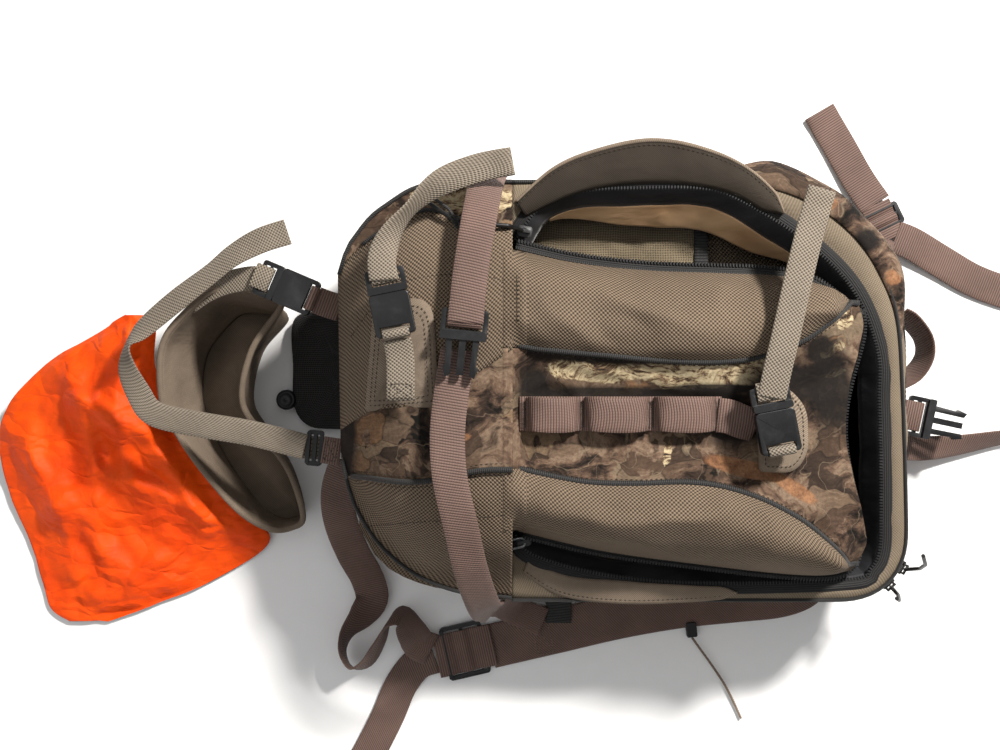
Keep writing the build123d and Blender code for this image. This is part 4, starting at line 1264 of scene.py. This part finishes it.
# ===== Daisy chain =====
DAISY_Y = -16.0
TACKS = [-78, -36, 14, 62]
base_route = [(x, DAISY_Y, 176.2) for x in (-81, -60, -36, -10, 14, 40, 65)]
base, _, _ = ribbon("daisy_base", base_route, 25, BROWN, 1.6)
finish_piece(base, "front_flap", ["daisy_chain"])
for i, (a, b) in enumerate(zip(TACKS, TACKS[1:])):
    loop = [(a + 2.5, DAISY_Y, 177.8, 0), (a + 4.5, DAISY_Y, 179.5, 0), (a + 7, DAISY_Y, 186.4, 2),
            (lerp(a, b, 0.4), DAISY_Y - 1, 189.2, 7), (lerp(a, b, 0.7), DAISY_Y - 1, 188.0, 4),
            (b - 6.5, DAISY_Y, 185.0, 0), (b - 4.0, DAISY_Y, 179.4, 0), (b - 2.5, DAISY_Y, 177.8, 0)]
    loop_obj, _, _ = ribbon(f"daisy_loop_{i + 1}", loop, 25, BROWN, 1.6, pitch=2.5)
    finish_piece(loop_obj, "front_flap")
last = [(62, DAISY_Y - 1, 177.8, 0), (70, DAISY_Y - 2, 180, 0), (80, DAISY_Y - 6, 181, 14),
        (90, DAISY_Y - 9, 179, 24)]
tail, _, _ = ribbon("daisy_tail", last, 25, BROWN, 1.6, pitch=2.5)
finish_piece(tail, "front_flap")
for x in TACKS:
    for dx in (-1.2, 0, 1.2):
        stitch("front_flap", [(x + dx, DAISY_Y - 10, 178.6), (x + dx, DAISY_Y + 10, 178.6)], pitch=1.6,
               long=1.7)

# ===== Pouches =====
def rounded_outline(corners, radii):
    """Plan loop with rounded corners."""
    loop = []
    n = len(corners)
    for i, (here, r) in enumerate(zip(corners, radii)):
        p, a, b = Vector(here), Vector(corners[i - 1]), Vector(corners[(i + 1) % n])
        u, w = (a - p).normalized(), (b - p).normalized()
        start, end = p + u * r, p + w * r
        loop += [start.lerp(p, t).lerp(p.lerp(end, t), t) for t in steps(6)]
    return loop


def filled(obj, loops, shaded):
    """Closes some rings of vertices with one face each."""
    work = bmesh.new()
    work.from_mesh(obj.data)
    work.verts.ensure_lookup_table()
    for loop in loops:
        work.faces.new([work.verts[i] for i in loop]).smooth = shaded
    bmesh.ops.recalc_face_normals(work, faces=work.faces)
    work.to_mesh(obj.data)
    work.free()
    return obj


def pillow(name, loop, height, base, puff, body, node):
    """Flat twill pouch over a plan loop: base(x, y) is what it lies on."""
    center = sum(loop, Vector((0, 0))) / len(loop)
    rows = []
    for t in steps(6)[1:]:
        ring_points = [center.lerp(p, t) for p in loop]
        rows.append([Vector((p.x, p.y, base(p.x, p.y) + height + puff * (1 - t * t))) for p in ring_points])
    out = [Vector((*(p - center), 0)).normalized() for p in ring_points]
    rows.append([Vector((p.x, p.y, base(p.x, p.y) + height * 0.4)) + o * 0.9
                 for p, o in zip(ring_points, out)])
    rows.append([Vector((p.x, p.y, base(p.x, p.y) - 0.6)) for p in ring_points])
    obj = filled(grid(name, rows, TWILL, closed=True, flip=True), [range(len(loop))], True)
    return finish_piece(obj, body, [node])


def hem(body, corners, radii, height, pitch):
    """Row of stitches round a pouch."""
    loop = rounded_outline(corners, radii)
    stitch(body, [Vector((p.x, p.y, height(p.x, p.y))) for p in loop + loop[:1]], pitch=pitch)


stock_loop = rounded_outline([(-193, -14), (-186, 60), (-143, 70), (-139, -10)], [3, 6, 22, 3])
pillow("stock_pouch", stock_loop, 3.0, crown_z, 1.5, "pack", "stock_pouch_flap")
hem("pack", [(-189.5, -10.5), (-183, 56), (-146, 65), (-142.6, -6.5)], [2, 5, 19, 2],
    lambda x, y: crown_z(x, y) + 4.0, 3.4)
hem("pack", [(-186, -7), (-180, 53), (-149, 61), (-146, -3)], [2, 5, 16, 2],
    lambda x, y: crown_z(x, y) + 4.3, 3.4)
barrel_loop = rounded_outline([(90, 1), (112, 3), (125, -12), (126, -44), (116, -58), (92, -57)],
                              [3, 8, 9, 9, 8, 3])
pillow("barrel_pouch_cloth", barrel_loop, 9.0, lambda x, y: 175.5, 2.0, "front_flap", "barrel_pouch")
hem("front_flap", [(93, -2), (111, 0), (121.5, -13), (122.5, -43), (114.5, -54), (95, -53.5)],
    [2, 6, 7, 7, 6, 2], lambda x, y: 185.6, 3.2)

# ===== Webbing =====
PACK_STRAPS = [  # name, width, material, body, hem, route of (x, y, z, tilt)
    ("compression_strap_upper", 25, BROWN, "pack", 0, [
        (-101, 163, 160), (-105, 148, 187), (-110, 120, 204), (-116, 80, 209.4), (-119, 48, 210)]),
    ("compression_strap_lower", 25, BROWN, "pack", 0, [
        (-124, 30, 201.5), (-130, -6, 200), (-132, -34, 202), (-130, -62, 203), (-123, -94, 198),
        (-116, -128, 182), (-107, -160, 150), (-102, -170, 116), (-98, -174, 80, 2), (-92, -180, 40, 6),
        (-80, -190, 9, 4), (-58, -199, 8)]),
    ("stock_strap_tail", 20, TAN, "stock_release", 9, [
        (-176, 78, 210), (-177, 94, 211, 10), (-170, 112, 209, 50), (-158, 128, 206, 70),
        (-146, 141, 202, 50), (-130, 151, 199, 20), (-108, 159, 197, 6), (-86, 163, 197)]),
    ("stock_strap_anchor", 20, TAN, "pack", 0, [
        (-167, 37, 206.5), (-165, 22, 202), (-165, -6, 199)]),
    ("barrel_strap_tail", 20, TAN, "barrel_release", 9, [
        (95, -4, 206.4), (98, 14, 209), (104, 42, 212), (112, 78, 212), (121, 112, 209),
        (130, 142, 206)]),
    ("boot_strap", 20, TAN, "boot", 0, [
        (-258, 122, 118), (-279, 115, 119, 8), (-300, 104, 117, 26), (-318, 90, 114, 32),
        (-346, 69, 111, 24), (-372, 48, 107, 34), (-384, 36, 106, 66), (-385, 18, 106, 34),
        (-376, -2, 106, 8), (-364, -18, 105), (-332, -26, 103), (-292, -33, 102), (-262, -40, 103),
        (-247, -44, 104)]),
    ("boot_tab_upper", 21, BROWN, "boot", 0, [
        (-237, 70, 110.5), (-229, 67, 108), (-219, 64, 106)]),
    ("boot_tab_lower", 21, BROWN, "boot", 0, [
        (-233, -46, 104), (-227, -47, 105), (-219, -48, 106)]),
    ("shoulder_strap_right", 38, BROWN, "pack", 0, [
        (166, -158, 22, 30), (158, -168, 17, 16), (140, -176, 10, 4), (108, -181, 3.2), (60, -186, 3.2),
        (8, -195, 3), (-44, -207, 3), (-103, -220.6, 3)]),
    ("adjuster_web_right", 28, BROWN, "pack", 0, [
        (-220, -59, 54), (-227, -77, 48), (-229, -94, 44), (-226, -114, 38), (-218, -138, 26),
        (-208, -160, 14), (-204, -178, 11, -12), (-212, -192, 14, -35), (-224, -206, 17, -65),
        (-228, -222, 18, -86), (-221, -236, 18, -100), (-208, -232, 19, -112), (-197, -214, 22, -108),
        (-189, -196, 26, -90), (-178, -190, 28, -62), (-170, -204, 24, -35), (-163, -217, 14, -10),
        (-154, -222, 8.6)]),
    ("adjuster_tail_right", 28, BROWN, "pack", 0, [
        (-151, -230, 3.2), (-166, -236, 2.4), (-180, -254, 1.8), (-191, -280, 1.6), (-204, -306, 1.4),
        (-214, -324, 1.4)]),
    ("shoulder_strap_left", 28, BROWN, "pack", 0, [
        (243, 130, 6.4), (258, 124, 6), (284, 109, 3), (310, 94, 1.8), (336, 84, 1.4), (358, 78, 1.4)]),
    ("adjuster_tail_left", 28, BROWN, "pack", 8, [
        (226, 158, 6), (212, 180, 3), (196, 209, 1.8), (179, 238, 1.4)]),
    ("ladder_loop_left", 20, BROWN, "pack", 0, [
        (205, 98, 50, 10), (219, 105, 42, 10), (226, 117, 28, 10), (230, 128, 14)]),
    ("sternum_web", 25, BROWN, "pack", 0, [
        (222, -19, 56), (229, -20, 52.6), (237, -21, 49.4)]),
    ("sternum_tail", 21, BROWN, "pack", 8, [
        (218, -46, 42), (236, -48, 30), (262, -50, 19, 6), (292, -48, 13, 30), (322, -43, 12, 46),
        (346, -39, 12, 55)]),
    ("haul_handle", 25, BROWN, "haul", 0, [
        (229, 60, 62, 60), (238, 56, 61, 66), (250, 42, 57, 70), (252, 27, 54, 70), (244, 13, 50, 64),
        (230, 6, 47, 56)]),
]
STRAP_FRAMES = {}
for name, width, material, body, hem_length, route in PACK_STRAPS:
    obj, frames, run = ribbon(name + "_web", route, width, material, 1.7, hem_length)
    finish_piece(obj, body, [name])
    STRAP_FRAMES[name] = (frames, run)


def box_stitch(name, body, start, length, width, tone="dark"):
    """Sewn box with a cross in it, on a strap from a distance along it."""
    frames, run = STRAP_FRAMES[name]

    def at(distance, across):
        k = min(range(len(run)), key=lambda i: abs(run[i] - distance))
        place, side, up = frames[k]
        ahead = side.cross(up).normalized()
        return place + ahead * (distance - run[k]) + side * across + up * 1.5

    a, b, h = start, start + length, width / 2 - 2.5
    path = ((a, -h), (a, h), (b, h), (b, -h), (a, -h), (b, h))
    for (d0, c0), (d1, c1) in [*zip(path, path[1:]), ((a, h), (b, -h))]:
        line = [at(lerp(d0, d1, t), lerp(c0, c1, t)) for t in steps(6)]
        stitch(body, line, tone=tone, pitch=2.6, long=1.9, lift=0.1)


box_stitch("shoulder_strap_right", "pack", STRAP_FRAMES["shoulder_strap_right"][1][-1] - 52, 14, 38, "light")
box_stitch("boot_tab_lower", "boot", 2, 10, 20)
box_stitch("stock_strap_anchor", "pack", 32, 10, 20)

under_route = [(-48, -146, 10), (-46, -164, 8), (-45, -182, 6.4), (-45, -200, 5.6)]
under_strap, _, _ = ribbon("under_strap_web", under_route, 22, BLACK_WEB, 1.6)
finish_piece(under_strap, "pack")


WEB_EDGE = [(-1, 0.35), (-0.94, 0.75), (0.94, 0.75), (1, 0.35), (1, -0.35), (0.94, -0.75), (-0.94, -0.75),
            (-1, -0.35)]


def bar_web(name, origin, angle, path, width, material, body):
    """Webbing that turns round a bar: path is (along, up) in the buckle's own plane."""
    ahead = Vector((math.cos(math.radians(angle)), math.sin(math.radians(angle)), 0))
    side, rise = Vector((-ahead.y, ahead.x, 0)), UP
    line = [Vector((*p.xy, 0)) for p in route_points([(a, b, 0) for a, b in path], 40)]
    frames = []
    for i, p in enumerate(line):
        run = heading(line, i)
        run = ahead * run.x + rise * run.y
        frames.append((Vector(origin) + ahead * p.x + rise * p.y, side, run.cross(side)))
    obj = sweep(name, frames, lambda k: [(a * width / 2, b) for a, b in WEB_EDGE], material)
    return finish_piece(obj, body)


# Paths round a buckle's or a lock's bar, as (along, up)
MALE_BAR = [(21, 6.6), (15, 6.4), (10.6, 6.3), (8.4, 5.4), (7.5, 3.2), (8.2, 1.0), (10.6, 0.0), (14, 0.2),
            (18, 0.9)]
WIDE_MALE_BAR = [(a * 1.25, b) for a, b in MALE_BAR]
FEMALE_BAR = [(-24.9, 5.4), (-27.0, 9.9), (-30.6, 9.4), (-31.4, 4.6), (-30.4, 0.2), (-26.0, 0.9)]
LOCK_BAR = [(-1.0, 5.4), (-0.7, 5.4), (-0.5, 4.0), (-0.28, 2.4), (0, 5.3), (0.28, 2.4), (0.5, 4.0),
            (0.7, 5.4), (1.0, 5.4)]
STOCK_PLANE, BARREL_PLANE = ((-173, 69, 203), 101.5), ((96.5, -13, 200), 101)
BOOT_PLANE = ((-266, 82, 106), 157)
for name, (origin, angle), path, width, material, body in (
        ("stock_male_web", STOCK_PLANE, MALE_BAR, 19, TAN, "stock_release"),
        ("barrel_male_web", BARREL_PLANE, MALE_BAR, 19, TAN, "barrel_release"),
        ("compression_male_web", ((-121, 36, 203.6), 84.5), WIDE_MALE_BAR, 24, BROWN, "compression_buckle"),
        ("sternum_male_web", ((261, -25, 43), 168), WIDE_MALE_BAR, 24, BROWN, "sternum_buckle"),
        ("boot_male_web", BOOT_PLANE, MALE_BAR, 19, TAN, "boot"),
        ("stock_female_web", STOCK_PLANE, FEMALE_BAR, 19, TAN, "pack"),
        ("barrel_female_web", BARREL_PLANE, FEMALE_BAR, 19, TAN, "front_flap"),
        ("boot_female_web", BOOT_PLANE, FEMALE_BAR, 19, BROWN, "boot"),
        ("lock_web_right", ((-125, -224, 0.6), 13), [(a * 25, b) for a, b in LOCK_BAR], 36, BROWN,
         "right_lock"),
        ("lock_web_left", ((232, 145, 0.6), -64), [(a * 16 + 2, b) for a, b in LOCK_BAR], 26, BROWN,
         "left_lock"),
        ("boot_lock_web", ((-240, -45, 97), -5), [(-9, 1.2), (-4, -0.9), (4, -0.9), (9, 1.2)], 18, TAN,
         "boot")):
    bar_web(name, origin, angle, path, width, material, body)
branch_route = [(-279, 87, 107.5), (-292, 87, 104, 6), (-310, 84, 97, 14), (-326, 78, 90, 22),
                (-340, 69, 84, 30)]
boot_branch, _, _ = ribbon("boot_branch_web", branch_route, 19, TAN, 1.7)
finish_piece(boot_branch, "boot")

# Storm flaps folded back from the two open zips.
STORM_UPPER = [(-80, 133, 165, 8, 10), (-51, 152, 168, 8, 20), (-22, 162, 169, 8, 24), (15, 167, 170, 8, 28),
               (51, 163, 169, 8, 24), (82, 152, 168, 8, 18), (112, 130, 165, 8, 10)]
STORM_LOWER = [(-76, -134, 126.5, 8, 8), (-45, -149, 124.6, 8, 14), (0, -154, 124.6, 8, 15),
               (45, -155, 124.4, 8, 11), (86, -154, 124.4, 8, 6)]


def storm(name, route, material, lining, node, cup):
    """Strip of cloth folded back beside an open zip; returns its rows."""
    frames, widths = strap_frames(route, 20, 4)
    rows = []
    for t in steps(8):
        row = []
        for k, ((place, across, up), wide) in enumerate(zip(frames, widths)):
            taper = min(1.0, 0.12 + (len(widths) - 1 - k) / 4)
            q = place + across * ((t - 0.5) * (wide + 3) * taper)
            q += up * (cup * (1 - (2 * t - 1) ** 2) + rumple(q.x, q.y, 0, 26, 4) * 1.6 * t)
            row.append(q)
        rows.append(row)
    finish_piece(grid(name, rows, material, 1.8, lining), "pack", [node])
    return rows


upper_flap = storm("storm_flap_left_cloth", STORM_UPPER, TWILL_DARK, TWILL, "storm_flap_upper", 3.5)
lower_flap = storm("storm_flap_right_cloth", STORM_LOWER, TWILL, TWILL_DARK, "storm_flap_lower", 1.5)
upper_edge = max((upper_flap[0], upper_flap[-1]), key=lambda row: row[len(row) // 2].y)
lower_edge = min((lower_flap[0], lower_flap[-1]), key=lambda row: row[len(row) // 2].y)
binding = tube("storm_flap_binding", upper_edge, 1.7, TWILL,
               taper=lambda t: 0.5 + 0.5 * math.sin(math.pi * t))
finish_piece(binding, "pack")
stitch("pack", [p + Vector((0, -3.6, 1.6)) for p in upper_edge])
stitch("pack", [p + Vector((0, 3.2, 1.4)) for p in lower_edge])

# ===== Inside: divider and mesh pocket =====
SLEEVE_HALF = [(-206, 105), (-190, 132), (-165, 148), (-130, 156), (100, 156), (150, 148)]
sleeve_rows = []
for t in steps(30):
    x = lerp(-205, 150, t)
    half = along(SLEEVE_HALF, x)
    row = []
    for u in steps(32):
        y = lerp(-half, half, u)
        sag = rumple(x, y, 0, 60, 15) * 2.0 + ridge(x, y * 1.3, 0, 70, 5) * 1.4
        row.append((x, y, 101.0 + sag * (1 - abs(2 * u - 1) ** 6)))
    sleeve_rows.append(row)
sleeve = grid("divider_cloth", sleeve_rows, WEAVE, 1.6, BLACK_LINING, flip=True)
finish_piece(sleeve, "pack", ["hydration_sleeve"])
pocket_rows = []
for t in steps(30):
    x = lerp(-90, 58, t)
    row = []
    for u in steps(26):
        y = lerp(14, 141, u)
        edge = ease(min((x + 90) / 10, (y - 14) / 10, (141 - y) / 10))
        puff = 8 + 2.4 * ridge(x, y * 1.4, 0, 30, 6) + rumple(x, y, 0, 16, 3) * 1.4
        row.append((x, y, 104 + edge * puff))
    pocket_rows.append(row)
pocket = grid("pocket_mesh", pocket_rows, MESH, 0.9, None, flip=True)
finish_piece(pocket, "pack", ["mesh_pocket"])
bind_route = [(60, y, along([(14, 105), (40, 113), (100, 114), (130, 112), (141, 105)], y), -3) for y in
              (16, 30, 50, 70, 90, 110, 126, 139)]
binding, _, _ = ribbon("pocket_binding", bind_route, 11, BLACK_WEB, 2.2)
finish_piece(binding, "pack")

# ===== Boot and its blaze cover =====
BOOT_RIM = [
    (-264, 74), (-285, 83), (-318, 84), (-345, 66), (-368, 38), (-374, -8), (-364, -40), (-346, -73),
    (-318, -112), (-286, -130), (-264, -128), (-250, -112), (-262, -68), (-285, -36), (-300, -8), (-290, 34),
]
BOOT_FLOOR = [
    (-276, 60), (-290, 66), (-315, 66), (-334, 50), (-348, 28), (-352, -8), (-342, -38), (-326, -68),
    (-304, -98), (-286, -112), (-270, -112), (-262, -104), (-272, -68), (-292, -36), (-306, -8), (-298, 32),
]


def closed_smooth(points, u):
    """Catmull-Rom value round a closed line of tuples."""
    n = len(points)
    i = int(u) % n
    t = u - int(u)
    return between([points[(i + k) % n] for k in (-1, 0, 1, 2)], t)


def boot_out(p):
    """Level direction out of the boot at a place on its wall."""
    return Vector((p.x + 318, p.y + 20, 0)).normalized()


BOOT_COLUMNS, BOOT_STEPS = 112, 18
boot_columns = []
for c in range(BOOT_COLUMNS):
    u = c * len(BOOT_RIM) / BOOT_COLUMNS
    top, bottom = Vector((*closed_smooth(BOOT_RIM, u), 120)), Vector((*closed_smooth(BOOT_FLOOR, u), 2.6))
    rise = top - bottom
    wanted = 68 - 0.15 * (bottom.x + 365) + 0.28 * (bottom.y + 40) - bottom.z
    share = wanted / (rise.z + 0.15 * rise.x - 0.28 * rise.y)
    column = []
    for t in steps(BOOT_STEPS):
        p = bottom + rise * share * t
        out = boot_out(p)
        fold = rumple(p.x, p.y, p.z, 34, 2) * 2.6 + ridge(p.x, p.y, p.z * 0.7, 40, 7) * 2.0 - 1.4
        column.append(p + out * fold * math.sin(math.pi * min(0.98, 0.06 + t * 0.9)) - out * 0.6)
    boot_columns.append(column)
boot_rows = list(zip(*boot_columns))
boot_rim = boot_rows[-1]
boot = grid("boot_cup_cloth", boot_rows, TWILL, 2.0, TWILL, closed=True)
finish_piece(boot, "boot", ["boot_shell"])
count = BOOT_COLUMNS
floor_faces = [list(range(count)), list(range(2 * count - 1, count - 1, -1))]
floor_faces += [[i, i + count, (i + 1) % count + count, (i + 1) % count] for i in range(count)]
base = make("boot_floor_cloth", [(p.x, p.y, z) for z in (3.2, 1.0) for p in boot_rows[0]], floor_faces,
            [TWILL])
base.data.uv_layers.new(name="cloth")
for loop in base.data.loops:
    co = base.data.vertices[loop.vertex_index].co
    base.data.uv_layers[0].data[loop.index].uv = (co.x, co.y)
finish_piece(base, "boot")
rim_tube = tube("boot_rim_binding", boot_rim + boot_rim[:2], 2.6, TWILL)
finish_piece(rim_tube, "boot")
for drop in (7, 9.5):
    stitch("boot", [p - UP * drop - boot_out(p) * 1.6 for p in boot_rim], (-0.3, 0, 1))

COVER = [  # y, then (x, z) points from the boot's mouth outwards
    (61, (-393, 60), (-395, 60.5), (-397, 60), (-399, 59), (-401, 58)),
    (56, (-388, 60), (-395, 61), (-401, 59), (-407, 56), (-412, 52)),
    (48, (-384, 60), (-394, 62), (-404, 59), (-414, 53), (-424, 46)),
    (20, (-386, 57), (-404, 64), (-428, 54), (-454, 38), (-476, 30)),
    (-18, (-373, 46), (-400, 58), (-440, 44), (-482, 32), (-513, 20)),
    (-52, (-353, 34), (-390, 46), (-436, 34), (-486, 26), (-521, 11)),
    (-95, (-328, 21), (-370, 32), (-424, 28), (-478, 20), (-513, 7)),
    (-130, (-300, 9), (-348, 18), (-402, 20), (-460, 14), (-498, 5)),
    (-165, (-352, 5), (-384, 11), (-418, 14), (-456, 10), (-487, 4)),
    (-188, (-408, 4.4), (-426, 7), (-444, 9), (-464, 7), (-480, 4)),
    (-199, (-438, 4), (-446, 5.0), (-453, 5.4), (-459, 5.0), (-464, 4)),
]
FOLDS = [  # height, width, crest line
    (9, 19, [(-455, 29), (-438, -9), (-430, -60)]),
    (10, 26, [(-494, -39), (-468, -94), (-455, -145)]),
    (9, 24, [(-430, -60), (-434, -128), (-396, -179)]),
    (11, 19, [(-438, -9), (-409, -26), (-383, -35), (-341, -111)]),
    (8, 20, [(-430, -60), (-366, -94), (-308, -126)]),
    (8, 16, [(-409, -26), (-400, -70), (-366, -94)]),
    (6, 18, [(-500, -4), (-455, 29), (-420, 44)]),
    (7, 20, [(-480, -60), (-434, -128), (-420, -180)]),
    (6, 15, [(-396, 40), (-409, -26)]),
]


def crest(p, height, width, line):
    """Height of a folded crest: a straight ridge, steeper on one side, that fades out at its ends."""
    best = width
    for (x0, y0), (x1, y1) in zip(line, line[1:]):
        dx, dy = x1 - x0, y1 - y0
        t = min(1.0, max(0.0, ((p.x - x0) * dx + (p.y - y0) * dy) / (dx * dx + dy * dy)))
        ex, ey = p.x - x0 - t * dx, p.y - y0 - t * dy
        best = min(best, math.hypot(ex, ey) * (1.6 if dx * ey - dy * ex > 0 else 1.0))
    return height * (1 - best / width)


COVER_STEPS, COVER_COLUMNS = 98, 72
cover_columns = []  # the stations' points at each share across the cover
for u in steps(COVER_COLUMNS):
    stations = []
    for y, *line in COVER:
        tucked = (line[0][0] + 8, max(line[0][1] - 6, 5))
        x, z = smooth([tucked] + line, u * 5)
        stations.append((x, y, z))
    cover_columns.append(stations)
cover_rows = []
for t in steps(COVER_STEPS):
    row = []
    for u, stations in zip(steps(COVER_COLUMNS), cover_columns):
        p = Vector(smooth(stations, t * (len(COVER) - 1)))
        edge = math.sin(math.pi * min(0.985, max(0.015, t))) ** 0.5
        edge *= math.sin(math.pi * min(0.97, max(0.03, u))) ** 0.4
        bend = rumple(p.x, p.y, 0, 60, 31) * 16
        slant, cross = (p.x - p.y * 0.6) * 0.86 + bend, (p.x * 0.6 + p.y) * 0.86 - bend
        drift = Vector((p.x + rumple(p.x, p.y, 0, 40, 12) * 7, p.y + rumple(p.x, p.y, 0, 40, 17) * 7, 0))
        crests = sorted((crest(drift, *fold) for fold in FOLDS), reverse=True)
        crumple = (crests[0] + 0.5 * crests[1] + facet(slant * 0.6, cross * 1.1, 56, 0.3) * 12
                   + facet(slant, cross * 0.7, 27, 4.1) * 6.5 + facet(cross, slant * 0.8, 13, 6.2) * 2 - 6)
        shift = Vector((rumple(p.x, p.y, 9, 30, 21), rumple(p.x, p.y, 9, 30, 27), 0)) * 2.4
        row.append(p + (shift * edge + Vector((0, 0, max(crumple * edge, 3.0 - p.z)))))
    cover_rows.append(row)
cover = grid("blaze_cover_cloth", cover_rows, BLAZE, 0.8, TWILL)
finish_piece(cover, "cover", ["blaze_cover"])

# ===== Back panel and lumbar pad =====


BACK_LOW, BACK_HIGH, BACK_HALF, BACK_CORNER = -200, 202, 134, 54


def back_half(x):
    """Half width of the back panel at an x."""
    r = BACK_CORNER
    for edge, sign in ((BACK_LOW, -1), (BACK_HIGH, 1)):
        reach = (x - (edge - sign * r)) * sign
        if reach > 0:
            return BACK_HALF - r + math.sqrt(max(0.0, r * r - min(reach, r) ** 2))
    return BACK_HALF


under, over = [], []
for i in range(81):
    x = lerp(BACK_LOW, BACK_HIGH, 0.5 - 0.5 * math.cos(math.pi * i / 80))
    half = max(back_half(x), 1.0)
    low_row, top_row = [], []
    for k in range(73):
        y = half * math.sin(math.pi * (k / 72 - 0.5))
        inset = min(half - abs(y), x - BACK_LOW, BACK_HIGH - x)
        edge_z = 8 * (1 - math.sqrt(max(0.0, 1 - (1 - min(inset, 8) / 8) ** 2)))
        groove = max(0.0, 1 - min(abs(abs(y) - 33), abs(abs(y) - 99)) / 9) ** 0.7
        channel = groove * ease((148 - abs(x)) / 12) * 4.2
        quilt = 0.6 * abs(math.sin(math.pi * x / 48)) if channel == 0 else 0
        low_row.append(Vector((x, y, 0.2 + edge_z + channel + 0.5 - quilt * 0.8 * (inset > 8))))
        top_row.append(Vector((x, y, 14.0)))
    under.append(low_row)
    over.append(top_row)
back = cushion("back_panel_pad", under, over, SPACER, SPACER)
finish_piece(back, "pack", ["back_panel"])

PAD_POINTS = 60
PAD_OUTLINE = [(-206, 66), (-240, 66), (-264, 64), (-272, 52), (-271, 20), (-270, -14), (-258, -31),
               (-234, -34), (-206, -34)]
pad_loop = [Vector(p.xy) for p in route_points([(x, y, 0) for x, y in PAD_OUTLINE], PAD_POINTS)]
pad_center = Vector((-225, 16))
pad_rings = ((0.96, 2.0), (1.0, 2.4), (1.0, 5), (1.0, 5), (1.0, 13), (0.97, 17), (0.88, 18.8), (0.84, 17.4),
             (0.78, 18.9), (0.4, 19.4), (0.02, 19.6))
pad_rows = [[Vector((*pad_center.lerp(p, scale), z)) for p in pad_loop] for scale, z in pad_rings]
pad = grid("lumbar_pad_cloth", pad_rows, SPACER, closed=True, flip=True)
filled(pad, [range(PAD_POINTS), range(-1, -1 - PAD_POINTS, -1)], False)
finish_piece(pad, "pack", ["lumbar_pad"])
knob_turns = [2 * math.pi * i / 28 for i in range(28)]
knob_profile = [(8.2, 9), (8.6, 12), (8.6, 17), (7.9, 19.6), (6.2, 20.7), (5.4, 19.6), (2.2, 19.9),
                (0.2, 20.3)]
knob_rows = [[(-276 + r * math.cos(a), -9 + r * math.sin(a), z) for a in knob_turns] for r, z in knob_profile]
knob = grid("anchor_cap", knob_rows, ACETAL, closed=True, flip=True)
finish_piece(knob, "pack")

# ===== Hardware: moulded and metal pieces keep the CAD's shapes with rounded edges =====
for node in ("stock_buckle_female", "stock_buckle_male", "barrel_buckle_female", "barrel_buckle_male",
             "boot_buckle", "compression_buckle_male", "sternum_buckle_male", "boot_ladder_lock",
             "ladder_lock_right", "ladder_lock_left", "cord_keeper"):
    refined(node, 0.7, ACETAL)
for node in ("slider_upper", "slider_lower", "slider_corner_top", "slider_corner_side"):
    refined(node, 0.35, SLIDER)
KNOT = Vector((-125, 121.4, 186))
knot_path = [KNOT + 1.2 * Vector((math.sin(a) + 2 * math.sin(2 * a), math.cos(a) - 2 * math.cos(2 * a),
                                  -math.sin(3 * a)))
             for a in (math.tau * i / 40 for i in range(41))]
finish_piece(tube("pull_cord_knot", knot_path, 1.3, PIPING), "upper_slider")
PULL_LOOP = [Vector(p) for p in ((-124, 120, 187), (-132, 131, 185), (-143, 139.5, 181.5),
                                 (-148.6, 139.6, 179), (-147.6, 137.2, 178))]
finish_piece(tube("pull_cord_loop", PULL_LOOP, 1.2, PIPING), "upper_slider")
refined("ring_pull_lower", 0.4, RING, segments=3)

cord_obj = cord_curve("keeper_cord_line", KEEPER_CORD, 2.0)
cord_obj.data.materials.append(THIN_CORD)
finish_piece(cord_obj, "keeper", ["keeper_cord"])

# ===== Stitching and teeth gathered above =====
for (body, tone), (verts, faces) in STITCHES.items():
    obj = make(f"stitching_{tone}_{body}", verts, faces, [LIGHT_THREAD if tone == "light" else THREAD])
    finish_piece(obj, body)
for body, (verts, faces) in TEETH.items():
    obj = make(f"zip_teeth_{body}", verts, faces, [COIL], flat=True)
    finish_piece(obj, body)
